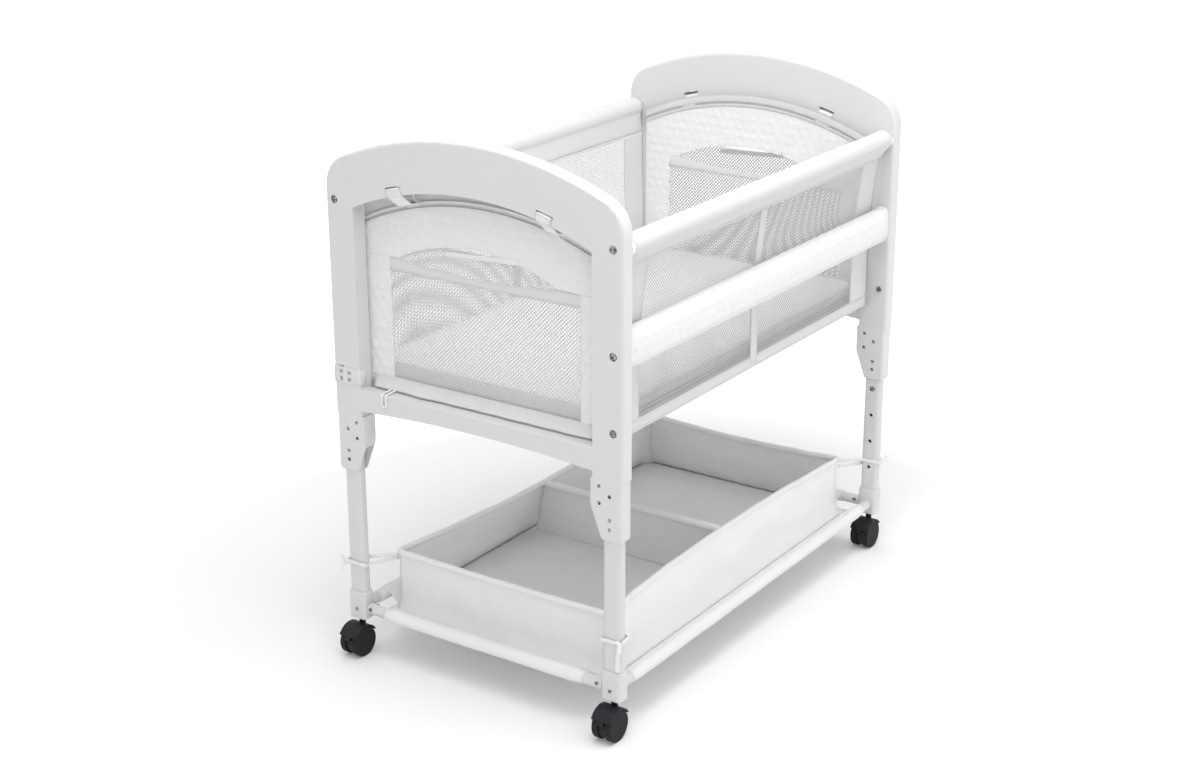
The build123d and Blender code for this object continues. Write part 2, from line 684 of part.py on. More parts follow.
# ---------------------------------------------------------------- casters
hub_radius = 9
for corner, end, side in corners:
    stem_x, y = leg_x(end), side * leg_y
    axle_x = stem_x - trail
    with BuildPart() as yoke:
        web_width = wheel_gap - 1.6
        with BuildSketch(Plane.XZ.offset(-y - web_width / 2)):
            with Locations((axle_x, wheel_radius)):
                Circle(wheel_radius - 3)
        extrude(amount=web_width)
        with BuildSketch(Plane.XZ.offset(-y - hood_width / 2)):
            with Locations((axle_x, wheel_radius)):
                Circle(hood_outer)
                Circle(hood_inner, mode=Mode.SUBTRACT)
            with Locations((axle_x, wheel_radius + 14 + hood_outer)):
                Rectangle(4 * hood_outer, 2 * hood_outer, mode=Mode.INTERSECT)
        extrude(amount=hood_width)
        with BuildSketch(Plane.XZ.offset(-y - web_width / 2)):
            with Locations((axle_x, wheel_radius)):
                Circle(hood_outer)
            with Locations((axle_x, wheel_radius + 8 + hood_outer)):
                Rectangle(4 * hood_outer, 2 * hood_outer, mode=Mode.INTERSECT)
        extrude(amount=web_width)
        with BuildSketch(Plane.XY.offset(wheel_radius + 16)):
            with Locations((stem_x, y)):
                Circle(web_width / 2)
        extrude(amount=foot_base - 1 - wheel_radius - 16)
        with BuildSketch(Plane.XY.offset(foot_base - 1)):
            with Locations((stem_x, y)):
                Circle(stem_radius)
        extrude(amount=stem_top - foot_base + 1)
        with BuildSketch(Plane.XZ.offset(-y - hood_width / 2)):
            with Locations((axle_x, wheel_radius)):
                Circle(axle_radius + running_clearance)
        extrude(amount=hood_width, mode=Mode.SUBTRACT)
    finish(yoke.part, f"{corner}_caster_yoke")

    with BuildPart() as wheels:
        half_track = wheel_gap / 2 + wheel_width
        with BuildSketch(Plane.XZ.offset(-y - half_track)):
            with Locations((axle_x, wheel_radius)):
                Circle(axle_radius)
        extrude(amount=2 * half_track)
        for flank in (-1, 1):
            inner = y + flank * wheel_gap / 2
            with BuildSketch(Plane.XZ.offset(-inner)):
                with Locations((axle_x, wheel_radius)):
                    Circle(wheel_radius)
            extrude(amount=-flank * wheel_width)
        rims = wheels.edges().filter_by(GeomType.CIRCLE)
        fillet(rims.filter_by(lambda e: e.radius > wheel_radius - 1), 1.5)
    finish(wheels.part, f"{corner}_caster_wheels")
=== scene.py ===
import json
import math

import bmesh
import bpy
from mathutils import Matrix, Vector, noise


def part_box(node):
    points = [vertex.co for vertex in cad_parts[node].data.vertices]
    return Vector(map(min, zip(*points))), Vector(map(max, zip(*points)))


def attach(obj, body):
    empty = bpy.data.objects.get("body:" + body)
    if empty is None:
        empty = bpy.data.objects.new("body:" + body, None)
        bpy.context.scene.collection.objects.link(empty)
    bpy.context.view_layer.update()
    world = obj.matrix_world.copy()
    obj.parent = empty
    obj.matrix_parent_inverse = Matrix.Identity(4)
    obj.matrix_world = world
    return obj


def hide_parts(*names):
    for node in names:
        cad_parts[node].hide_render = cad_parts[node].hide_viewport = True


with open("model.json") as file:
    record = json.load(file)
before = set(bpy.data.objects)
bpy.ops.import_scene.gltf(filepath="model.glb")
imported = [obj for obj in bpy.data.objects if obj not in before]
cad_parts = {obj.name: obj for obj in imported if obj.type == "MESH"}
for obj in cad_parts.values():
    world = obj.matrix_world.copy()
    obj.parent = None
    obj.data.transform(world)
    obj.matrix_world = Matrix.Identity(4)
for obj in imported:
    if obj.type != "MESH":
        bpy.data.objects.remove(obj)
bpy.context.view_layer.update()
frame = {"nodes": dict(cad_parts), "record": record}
nodeSlots = {item["node"]: item["material_slot"] for item in frame["record"]["subparts"]}
print("frame loaded")

view = {"place": (-2.5809, -1.6921, 1.5031), "azimuth": -55.92, "elevation": 19.33, "roll": -0.13,
        "lens": 59.12, "sensor": 36, "shift": -0.0204}
studio = {"ambient": 0.68, "backdrop": 1.0, "floorGlow": 3.0, "floorColour": 0.92, "nearShare": 0.024,
          "farShare": 0.3, "nearReach": 0.8, "farReach": 1.5, "floorHalf": 14, "lampAim": (0, 0, 0.45),
          "lamps": {"overhead": ((0.1, -0.3, 3.2), 3.2, 30),
                    "frontRight": ((1.9, -3.2, 1.05), 2.4, 21),
                    "frontLeft": ((-2.8, -2.3, 1.0), 1.8, 9),
                    "overLeft": ((-1.2, -0.4, 2.3), 1.0, 8),
                    "overBed": ((-0.3, -0.45, 1.9), 0.8, 8)}}
ends = (("left", -1), ("right", 1))
flanks = (("front", -1), ("rear", 1))


def addObject(name, data):
    item = bpy.data.objects.new(name, data)
    bpy.context.collection.objects.link(item)
    return item


def addCamera():
    azimuth, elevation, roll = (math.radians(view[key]) for key in ("azimuth", "elevation", "roll"))
    level = math.cos(elevation)
    back = Vector((math.sin(azimuth) * level, -math.cos(azimuth) * level, math.sin(elevation)))
    right = Vector((math.cos(azimuth), math.sin(azimuth), 0))
    turn = Matrix((right, back.cross(right), back)).transposed() @ Matrix.Rotation(roll, 3, "Z")
    camera = addObject("camera", bpy.data.cameras.new("camera"))
    camera.data.lens, camera.data.sensor_width = view["lens"], view["sensor"]
    camera.data.shift_y = view["shift"]
    camera.matrix_world = Matrix.Translation(view["place"]) @ turn.to_4x4()
    bpy.context.scene.camera = camera


def wireMath(operation):
    return lambda first, second=0.0: first.math(operation, first, second)


class Wire:
    # an output of a node; arithmetic on it adds Math nodes
    __add__ = __radd__ = wireMath("ADD")
    __sub__ = wireMath("SUBTRACT")
    __mul__ = __rmul__ = wireMath("MULTIPLY")
    __truediv__ = wireMath("DIVIDE")
    __mod__ = wireMath("FLOORED_MODULO")
    __abs__ = wireMath("ABSOLUTE")
    floor, sine = wireMath("FLOOR"), wireMath("SINE")

    def __init__(self, net, node, output):
        self.net, self.node, self.output = net, node, output

    def __rsub__(self, other):
        return self.math("SUBTRACT", other, self)

    def port(self, output):
        return Wire(self.net, self.node, output)

    def math(self, operation, first, second):
        return self.net.add("ShaderNodeMath", {"operation": operation}, {0: first, 1: second})


class Net:
    # a node tree that is built one call per node
    def __init__(self, tree):
        self.tree = tree

    def add(self, kind, settings=None, sockets=None, output=0):
        node = self.tree.nodes.new(kind)
        for name, value in (settings or {}).items():
            setattr(node, name, value)
        for key, value in (sockets or {}).items():
            self.put(node.inputs[key], value)
        return Wire(self, node, output)

    def put(self, socket, value):
        if isinstance(value, Wire):
            self.tree.links.new(value.node.outputs[value.output], socket)
        else:
            socket.default_value = value


class Finish(Net):
    # a material: constants sit on the shader's own sockets, patterns come through wires
    def __init__(self, name, colour, roughness, **constants):
        self.material = bpy.data.materials.new(name)
        self.material.use_nodes = True
        super().__init__(self.material.node_tree)
        self.shader = self.tree.nodes["Principled BSDF"]
        self.put(self.shader.inputs["Base Color"], (*colour, 1))
        self.put(self.shader.inputs["Roughness"], roughness)
        for label, value in constants.items():
            self.put(self.shader.inputs[label.replace("_", " ")], value)
        self.place = self.add("ShaderNodeTexCoord", output="Object")
        self.flat = self.place.port("UV")

    def noise(self, scale, detail=3.0, vector=None):
        sockets = {"Vector": vector or self.place, "Scale": scale, "Detail": detail}
        return self.add("ShaderNodeTexNoise", sockets=sockets)

    def tint(self, factor, first, second):
        colours = {0: factor, 6: (*first, 1), 7: (*second, 1)}
        mixed = self.add("ShaderNodeMix", {"data_type": "RGBA"}, colours, output=2)
        self.put(self.shader.inputs["Base Color"], mixed)

    def rough(self, wire):
        self.put(self.shader.inputs["Roughness"], wire)

    def relief(self, height, depth, strength=1.0):
        sockets = {"Height": height, "Distance": depth, "Strength": strength}
        bump = self.add("ShaderNodeBump", sockets=sockets)
        self.put(self.shader.inputs["Normal"], bump)


def grey(level):
    return (level, level, level)


def paintFinish(name, level, roughness, grain, depth, coat=0.0):
    # sprayed or moulded surface: slight orange peel, faint uneven tone, roughness that drifts
    finish = Finish(name, grey(level), roughness, Coat_Weight=coat, Coat_Roughness=0.2)
    drift = finish.noise(7, 2)
    finish.tint(drift, grey(level - 0.018), grey(level + 0.012))
    finish.rough(roughness - 0.05 + 0.1 * finish.noise(38, 4))
    finish.relief(finish.noise(grain, 2), depth)
    return finish


yarnRelief = 0.00025


def weaveHeight(finish, pitch):
    # plain weave on the flat coordinates: each yarn rides over one and under the next
    sides = finish.add("ShaderNodeSeparateXYZ", sockets={0: finish.flat})
    across, along = sides.port("X") / pitch, sides.port("Y") / pitch
    over = (across.floor() + along.floor()) % 2.0
    warp, weft = abs((across * math.pi).sine()), abs((along * math.pi).sine())
    return over * warp + (1 - over) * weft


def clothFinish(name, level, pitch, creases=0.0012, creaseScale=24):
    finish = Finish(name, grey(level), 0.88, Sheen_Weight=0.25, Sheen_Roughness=0.6)
    slub = finish.noise(260, 2)
    finish.tint(0.5 * slub + 0.5 * finish.noise(5, 2), grey(level - 0.03), grey(level + 0.03))
    finish.rough(0.8 + 0.15 * slub)
    folds = finish.noise(creaseScale, 3)
    finish.relief(weaveHeight(finish, pitch) * (yarnRelief / creases) + folds + 0.1 * slub, creases)
    return finish


def plushFinish(name, level):
    # short soft pile: the tips shade in clumps
    finish = Finish(name, grey(level), 0.95, Sheen_Weight=0.5, Sheen_Roughness=0.5)
    pile = finish.noise(900, 3)
    clump = finish.noise(120, 3)
    finish.tint(0.4 * pile + 0.6 * clump, grey(level - 0.05), grey(level + 0.04))
    finish.rough(0.88 + 0.1 * pile)
    finish.relief(0.35 * pile + clump + 2.2 * finish.noise(30, 2), 0.0011)
    return finish


def webbingFinish(name, level):
    # woven tape: ribs across its length
    finish = Finish(name, grey(level), 0.75, Sheen_Weight=0.15)
    sides = finish.add("ShaderNodeSeparateXYZ", sockets={0: finish.flat})
    ribs = abs((sides.port("Y") * (math.pi / 0.0011)).sine())
    finish.tint(0.6 * ribs + 0.4 * finish.noise(90, 2), grey(level - 0.05), grey(level + 0.03))
    finish.relief(ribs, 0.0002)
    return finish


def steelFinish():
    finish = Finish("blackenedSteel", grey(0.2), 0.3, Metallic=0.85)
    # the swirl noise swings the base colour between near black and light grey: painted glints and dark
    # patches; it also drifts the roughness and relief
    swirlAndGlints = finish.noise(420, 3)
    spread = finish.add("ShaderNodeMapRange", sockets={0: swirlAndGlints, 1: 0.42, 2: 0.6})
    finish.tint(spread, (0.03, 0.031, 0.036), (0.48, 0.49, 0.51))
    finish.rough(0.2 + 0.25 * swirlAndGlints)
    finish.relief(swirlAndGlints, 0.00005)
    return finish


def blackFinish(name, tones, roughness, specular, mottle, roughRange, drift, grain, depth):
    # mottle, drift and grain are the scale and detail of the noise in colour, roughness and relief
    finish = Finish(name, tones[0], roughness, Specular_IOR_Level=specular)
    finish.tint(finish.noise(*mottle), tones[1], tones[2])
    finish.rough(roughRange[0] + roughRange[1] * finish.noise(*drift))
    finish.relief(finish.noise(*grain), depth)
    return finish


def woodFinish():
    finish = Finish("planedBeech", (0.6, 0.43, 0.26), 0.55)
    stretch = finish.add("ShaderNodeMapping", sockets={0: finish.place, "Scale": (4, 60, 60)})
    grain = finish.noise(3, 6, stretch)
    finish.tint(grain, (0.47, 0.31, 0.17), (0.72, 0.55, 0.36))
    finish.relief(grain, 0.0003)
    return finish


def tubeFinish():
    finish = Finish("drawnAluminium", grey(0.75), 0.3, Metallic=1.0)
    stretch = finish.add("ShaderNodeMapping", sockets={0: finish.place, "Scale": (2, 300, 300)})
    lines = finish.noise(4, 3, stretch)
    finish.tint(lines, grey(0.66), grey(0.82))
    finish.rough(0.22 + 0.2 * lines)
    finish.relief(lines, 0.00004)
    return finish


finishes = {
    "frame_white": paintFinish("satinLacquer", 0.67, 0.34, 420, 0.00009, coat=0.15),
    "bracket_white": paintFinish("mouldedWhite", 0.68, 0.42, 1600, 0.00007),
    "leg_white": paintFinish("powderCoat", 0.66, 0.3, 700, 0.00008, coat=0.1),
    "tube_aluminium": tubeFinish(),
    "rail_wood": woodFinish(),
    "liner_fabric": clothFinish("linerCloth", 0.78, 0.0011),
    "liner_mesh": clothFinish("meshYarn", 0.78, 0.0006, creases=0.0006),
    # a darker copy of the mesh yarn: painted shade for the meshes seen from inside the liner
    "painted_shade_mesh": clothFinish("shadedYarn", 0.54, 0.0006, creases=0.0006),
    "quilted_fabric": plushFinish("dottedPlush", 0.82),
    "mattress_fabric": clothFinish("mattressTicking", 0.96, 0.0013, creases=0.0016),
    "board": paintFinish("fibreBoard", 0.7, 0.6, 300, 0.0003),
    "basket_fabric": clothFinish("basketCloth", 0.98, 0.0009, creases=0.006, creaseScale=15),
    "tie_tape": webbingFinish("tieTape", 0.86),
    "plate_white": paintFinish("platePlastic", 0.7, 0.4, 1200, 0.00007),
    "bolt_steel": steelFinish(),
    "caster_black": blackFinish("casterPlastic",
                                ((0.008, 0.008, 0.011), (0.005, 0.005, 0.008), (0.014, 0.015, 0.019)),
                                0.5, 0.28, (160, 5), (0.42, 0.2), (60, 4), (1500, 2), 0.00006),
    "caster_tread": blackFinish("treadRubber",
                                ((0.01, 0.01, 0.012), (0.006, 0.006, 0.008), (0.02, 0.02, 0.022)),
                                0.7, 0.25, (85, 5), (0.55, 0.3), (85, 5), (900, 3), 0.0001),
}


def seenDirectly(net):
    rays = net.add("ShaderNodeLightPath")
    return rays.port("Is Camera Ray") + rays.port("Is Glossy Ray") + rays.port("Is Transmission Ray")


def addStudio():
    world = bpy.data.worlds.new("studio")
    world.use_nodes = True
    bpy.context.scene.world = world
    net = Net(world.node_tree)
    world.node_tree.nodes.clear()
    indoor = net.add("ShaderNodeBackground", sockets={0: (1, 1, 1, 1), 1: studio["ambient"]})
    backdrop = net.add("ShaderNodeBackground", sockets={0: (1, 1, 1, 1), 1: studio["backdrop"]})
    both = net.add("ShaderNodeMixShader", sockets={0: seenDirectly(net), 1: indoor, 2: backdrop})
    net.add("ShaderNodeOutputWorld", sockets={0: both})
    for name, (place, size, power) in studio["lamps"].items():
        lamp = addObject(name, bpy.data.lights.new(name, "AREA"))
        lamp.data.size, lamp.data.energy = size, power
        lamp.location = place
        lamp.rotation_euler = (Vector(place) - Vector(studio["lampAim"])).to_track_quat("Z", "Y").to_euler()


def addFloor():
    half = studio["floorHalf"]
    corners = [(-half, -half, 0), (half, -half, 0), (half, half, 0), (-half, half, 0)]
    floor = newPiece("studioFloor", corners, [(0, 1, 2, 3)])
    material = bpy.data.materials.new("paleFloor")
    material.use_nodes = True
    net = Net(material.node_tree)
    material.node_tree.nodes.clear()
    paint = net.add("ShaderNodeBsdfDiffuse", sockets={0: (*grey(studio["floorColour"]), 1)})
    glow = net.add("ShaderNodeEmission", sockets={0: (1, 1, 1, 1), 1: studio["floorGlow"]})
    spot = net.add("ShaderNodeTexCoord", output="Object")
    away = net.add("ShaderNodeVectorMath", {"operation": "LENGTH"}, {0: spot}, output="Value")
    spread = studio["farReach"] - studio["nearReach"]
    fade = net.add("ShaderNodeClamp", sockets={0: (away - studio["nearReach"]) / spread})
    share = studio["nearShare"] + fade * (studio["farShare"] - studio["nearShare"])
    both = net.add("ShaderNodeMixShader", sockets={0: seenDirectly(net) * share, 1: paint, 2: glow})
    net.add("ShaderNodeOutputMaterial", sockets={0: both})
    floor.data.materials.append(material)


def newPiece(name, verts, faces, uvs=None, closed=False, smooth=True):
    mesh = bpy.data.meshes.new(name)
    mesh.from_pydata([tuple(vert) for vert in verts], [], faces)
    layer = mesh.uv_layers.new(name="flat")
    if uvs:
        for loop in mesh.loops:
            layer.data[loop.index].uv = uvs[loop.vertex_index]
    if closed:
        form = bmesh.new()
        form.from_mesh(mesh)
        bmesh.ops.recalc_face_normals(form, faces=form.faces)
        form.to_mesh(mesh)
        form.free()
    mesh.polygons.foreach_set("use_smooth", [smooth] * len(mesh.polygons))
    return addObject(name, mesh)


def ringFaces(rings, sides, closed=False):
    # quads between rings of vertices, with a cap at both ends unless they close on themselves
    faces = []
    for ring in range(rings if closed else rings - 1):
        base, after = ring * sides, (ring + 1) % rings * sides
        faces += [(base + k, base + (k + 1) % sides, after + (k + 1) % sides, after + k)
                  for k in range(sides)]
    if not closed:
        faces += [tuple(range(sides)), tuple(range((rings - 1) * sides, rings * sides))]
    return faces


def room(node):
    # the middle and the half size of a node's box
    low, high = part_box(node)
    return (low + high) / 2, (high - low) / 2


def faceX(node, end):
    # the x of a node's face at that end
    low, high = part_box(node)
    return low.x if end < 0 else high.x


def evenly(steps):
    # evenly spaced from -1 to 1
    return [k / steps - 1 for k in range(2 * steps + 1)]


def rounded(share, power):
    return math.copysign(abs(share) ** power, share)


def settle(piece):
    # keeps what the modifiers made as a plain mesh
    graph = bpy.context.evaluated_depsgraph_get()
    mesh = bpy.data.meshes.new_from_object(piece.evaluated_get(graph))
    piece.modifiers.clear()
    piece.data = mesh
    return piece


def clothGrid(name, place, columns, rows, thickness, size=(1, 1)):
    # place takes the shares across and along the flat cloth; size is its width and length
    shares = [(column / columns, row / rows) for row in range(rows + 1) for column in range(columns + 1)]
    verts = [place(*share) for share in shares]
    uvs = [(across * size[0], along * size[1]) for across, along in shares]
    step = columns + 1
    firsts = [row * step + column for row in range(rows) for column in range(columns)]
    faces = [(k, k + 1, k + step + 1, k + step) for k in firsts]
    piece = newPiece(name, verts, faces, uvs)
    if thickness:
        shell = piece.modifiers.new("thickness", "SOLIDIFY")
        shell.thickness, shell.offset = thickness, 0
        settle(piece)
    return piece


def sweep(name, path, section, up=(0, 0, 1), closed=False):
    # carries a section of (across, up) pairs along a path; a function gives the section at each share
    path = [Vector(point) for point in path]
    count = len(path)
    outline = section if callable(section) else (lambda share: section)
    verts, uvs, travelled = [], [], 0.0
    sides = len(outline(0))
    for index, point in enumerate(path):
        ahead = path[(index + 1) % count] if closed else path[min(index + 1, count - 1)]
        behind = path[index - 1] if closed else path[max(index - 1, 0)]
        tangent = (ahead - behind).normalized()
        aim = up(index / (count - 1)) if callable(up) else Vector(up)
        across = tangent.cross(aim).normalized()
        rise = across.cross(tangent)
        travelled += (point - path[index - 1]).length if index else 0.0
        around, last = 0.0, None
        for a, b in outline(index / (count - 1)):
            around += math.hypot(a - last[0], b - last[1]) if last else 0.0
            last = (a, b)
            verts.append(point + across * a + rise * b)
            uvs.append((around, travelled))
    return newPiece(name, verts, ringFaces(count, sides, closed), uvs, closed=True)


def roundSection(radius, flat=1.0, sides=10):
    return [(radius * math.cos(turn), radius * flat * math.sin(turn))
            for turn in (2 * math.pi * k / sides for k in range(sides))]


def tapeSection(width, thickness):
    # a flat tape whose width stands along the up direction
    t, w = thickness / 2, width / 2
    return [(-t, -w + t), (0, -w), (t, -w + t), (t, 0), (t, w - t), (0, w), (-t, w - t), (-t, 0)]


def smoothPath(points, steps):
    # a smooth line through given points
    points = [Vector(point) for point in points]
    guides = [2 * points[0] - points[1]] + points + [2 * points[-1] - points[-2]]
    line = []
    for index in range(1, len(guides) - 2):
        a, b, c, d = guides[index - 1:index + 3]
        for step in range(steps):
            t = step / steps
            line.append(0.5 * (2 * b + (c - a) * t + (2 * a - 5 * b + 4 * c - d) * t * t
                               + (3 * b - a - 3 * c + d) * t * t * t))
    return line + [points[-1]]


def alongPath(path, share):
    spot = min(max(share, 0.0), 1.0) * (len(path) - 1)
    index = min(int(spot), len(path) - 2)
    return path[index].lerp(path[index + 1], spot - index)


def join(name, pieces, body, slot, *nodes):
    first = pieces[0]
    with bpy.context.temp_override(active_object=first, object=first, selected_objects=pieces,
                                   selected_editable_objects=pieces):
        bpy.ops.object.join()
    first.name = first.data.name = name
    return fit(first, body, slot, *nodes)


def dress(piece, slot):
    piece.data.materials.clear()
    piece.data.materials.append(finishes[slot].material)


def fit(piece, body, slot, *nodes):
    dress(piece, slot)
    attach(piece, body)
    if nodes:
        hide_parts(*nodes)
    return piece


def ripple(x, y, z, seed=0.0):
    return noise.noise(Vector((x, y, z + 31.7 * seed)))


def newTree(name, inputs):
    tree = bpy.data.node_groups.new(name, "GeometryNodeTree")
    tree.interface.new_socket("mesh", in_out="INPUT", socket_type="NodeSocketGeometry")
    for label, kind in inputs.items():
        tree.interface.new_socket(label, in_out="INPUT", socket_type="NodeSocket" + kind)
    tree.interface.new_socket("mesh", in_out="OUTPUT", socket_type="NodeSocketGeometry")
    net = Net(tree)
    source = net.add("NodeGroupInput")
    return net, source


def closeTree(net, source, shape):
    real = net.add("GeometryNodeRealizeInstances", sockets={0: shape})
    painted = net.add("GeometryNodeSetMaterial", sockets={0: real, "Material": source.port("finish")})
    net.add("NodeGroupOutput", sockets={0: painted})
    return net.tree


def runTree(piece, tree, slot, **values):
    modifier = piece.modifiers.new(tree.name, "NODES")
    modifier.node_group = tree
    values["finish"] = finishes[slot].material
    for item in tree.interface.items_tree:
        if item.in_out == "INPUT" and item.name in values:
            modifier[item.identifier] = values[item.name]
    return settle(piece)


def perforateTree():
    # opens a hole in every cell of the knitted mesh
    net, source = newTree("perforate", {"opening": "Float", "finish": "Material"})
    cells = net.add("GeometryNodeExtrudeMesh", {"mode": "FACES"},
                    {"Mesh": source.port("mesh"), "Offset Scale": 0.0, "Individual": True})
    shrunk = net.add("GeometryNodeScaleElements", {"domain": "FACE"},
                     {"Geometry": cells, "Selection": cells.port("Top"), "Scale": source.port("opening")})
    holes = net.add("GeometryNodeDeleteGeometry", {"domain": "FACE"},
                    {"Geometry": shrunk, "Selection": cells.port("Top")})
    return closeTree(net, source, holes)


def stitchTree():
    # lays rounded stitches along the edges of a line
    net, source = newTree("stitches", {"pitch": "Float", "reach": "Float", "thread": "Float",
                                       "finish": "Material"})
    line = net.add("GeometryNodeMeshToCurve", sockets={"Mesh": source.port("mesh")})
    spots = net.add("GeometryNodeResampleCurve", {"mode": "LENGTH"},
                    {"Curve": line, "Length": source.port("pitch")})
    bead = net.add("GeometryNodeMeshUVSphere", sockets={"Segments": 6, "Rings": 4, "Radius": 1.0})
    heading = net.add("GeometryNodeInputTangent")
    turn = net.add("FunctionNodeAlignRotationToVector", {"axis": "Z"}, {"Vector": heading})
    scale = net.add("ShaderNodeCombineXYZ", sockets={0: source.port("thread"), 1: source.port("thread"),
                                                     2: source.port("reach")})
    laid = net.add("GeometryNodeInstanceOnPoints",
                   sockets={"Points": spots, "Instance": bead, "Rotation": turn, "Scale": scale})
    return closeTree(net, source, laid)


def fastenerTree():
    # sets a fastener on each point, turned to the point's own direction
    net, source = newTree("fasteners", {"part": "Object", "finish": "Material"})
    points = net.add("GeometryNodeMeshToPoints", sockets={"Mesh": source.port("mesh")})
    aim = net.add("GeometryNodeInputNamedAttribute", {"data_type": "FLOAT_VECTOR"}, {"Name": "aim"})
    turn = net.add("FunctionNodeAlignRotationToVector", {"axis": "Z"}, {"Vector": aim})
    shape = net.add("GeometryNodeObjectInfo", sockets={"Object": source.port("part")}, output="Geometry")
    laid = net.add("GeometryNodeInstanceOnPoints",
                   sockets={"Points": points, "Instance": shape, "Rotation": turn})
    return closeTree(net, source, laid)


trees = {"perforate": perforateTree(), "stitch": stitchTree(), "fasten": fastenerTree()}


def knitMesh(name, place, width, height, inside, side, opening, body, yarn="liner_mesh"):
    # a lattice of diamond cells over the flat cloth, opened by the perforate tree
    step = side * math.sqrt(2) / 2
    corners, verts, uvs, faces = {}, [], [], []

    def corner(column, row):
        key = (column, row)
        if key not in corners:
            u, v = min(max(column * step, 0), width), min(max(row * step, 0), height)
            corners[key] = len(verts)
            verts.append(place(u / width, v / height))
            uvs.append((u, v))
        return corners[key]

    for row in range(1, int(height / step)):
        for column in range(1, int(width / step)):
            if (row + column) % 2 and inside(column * step / width, row * step / height):
                faces.append((corner(column - 1, row), corner(column, row - 1),
                              corner(column + 1, row), corner(column, row + 1)))
    piece = newPiece(name, verts, faces, uvs, smooth=False)
    runTree(piece, trees["perforate"], yarn, opening=opening)
    fit(piece, body, "liner_mesh")
    dress(piece, yarn)
    return piece


def sewLine(name, lines, body, slot, pitch=0.0042, reach=0.0014, thread=0.00032):
    verts, edges = [], []
    for line in lines:
        start = len(verts)
        verts += [tuple(point) for point in line]
        edges += [(start + k, start + k + 1) for k in range(len(line) - 1)]
    mesh = bpy.data.meshes.new(name)
    mesh.from_pydata(verts, edges, [])
    piece = addObject(name, mesh)
    runTree(piece, trees["stitch"], slot, pitch=pitch, reach=reach, thread=thread)
    return fit(piece, body, slot)


def inflate(piece, voxel, cap, pressure=4.0):
    # pressure swells the pad from a slightly smaller shape; the cap keeps it in its room
    remesh = piece.modifiers.new("cells", "REMESH")
    remesh.mode, remesh.voxel_size, remesh.use_smooth_shade = "VOXEL", voxel, True
    settle(piece)
    before = [(vert.co.copy(), vert.normal.copy()) for vert in piece.data.vertices]
    cloth = piece.modifiers.new("filling", "CLOTH")
    cloth.settings.use_pressure = True
    cloth.settings.uniform_pressure_force = pressure
    cloth.settings.effector_weights.gravity = 0
    cloth.point_cache.frame_start, cloth.point_cache.frame_end = 1, 20
    for step in range(1, 21):
        bpy.context.scene.frame_set(step)
    settle(piece)
    bpy.context.scene.frame_set(1)
    for vert, (start, out) in zip(piece.data.vertices, before):
        move = vert.co - start
        move -= out * min(move.dot(out), 0.0)
        vert.co = start + move.normalized() * min(move.length, cap)
    return piece


def refine(pad):
    smooth = pad.modifiers.new("levels", "SUBSURF")
    smooth.levels = smooth.render_levels = 1
    settle(pad)


def shadeSmooth(pad):
    for polygon in pad.data.polygons:
        polygon.use_smooth = True


print("helpers ready")

# End walls of the liner; the bead and the top of the shade sheet are radii about the centre of the arch's
# arc. The shade sheet is a recessed cloth strip that stands in for the shade in the gap under the arch, and
# the right end takes the darker mesh yarn, painted shade.
endWall = {"arcCentre": 0.266, "bead": {"left": 0.5125, "right": 0.5245}, "beadRadius": 0.0024,
           "shadeSheetTop": {"left": 0.534, "right": 0.537}, "quiltDrop": 0.006, "half": 0.228,
           "lensHalf": 0.147, "lensShift": 0.012, "lensTop": 0.709, "lensTip": 0.675, "lensFoot": 0.665,
           "hemFoot": 0.654, "windowHalf": 0.176, "cloth": 0.0016, "plush": 0.0024,
           "meshSide": 0.00445, "meshOpening": 0.5, "yarn": {"left": "liner_mesh", "right": "painted_shade_mesh"},
           "webbingHalf": 0.07, "webbingWidth": 0.008, "webbingZ": 0.7, "webbingSlope": 0.057,
           "slack": 0.0008, "pucker": 0.0004, "seamHalf": 0.14, "rollDrop": 0.012, "rollTop": 0.017,
           "rollOut": 0.0135, "rollHalf": 0.211}
dots = {"pitch": 0.0185, "radius": 0.0085, "height": 0.0012}


def dotRelief(u, v):
    # raised dots in staggered rows
    row = round(v / (dots["pitch"] * 0.866))
    shift = 0.5 * (row % 2)
    column = round(u / dots["pitch"] - shift)
    away = math.hypot(u - (column + shift) * dots["pitch"], v - row * dots["pitch"] * 0.866)
    swell = 0.7 + 0.6 * ripple(u * 30, v * 30, 3.0)
    return dots["height"] * swell * max(0.0, 1 - (away / dots["radius"]) ** 2) ** 1.5


def arcHeight(radius, y):
    return endWall["arcCentre"] + math.sqrt(radius * radius - y * y)


def lensTop(y):
    share = min(abs(y - endWall["lensShift"]) / endWall["lensHalf"], 1)
    return endWall["lensTop"] - (endWall["lensTop"] - endWall["lensTip"]) * share ** 2.2


def lensFoot(y):
    share = min(abs(y - endWall["lensShift"]) / endWall["lensHalf"], 1)
    return endWall["lensFoot"] + (endWall["lensTip"] - endWall["lensFoot"]) * share ** 2


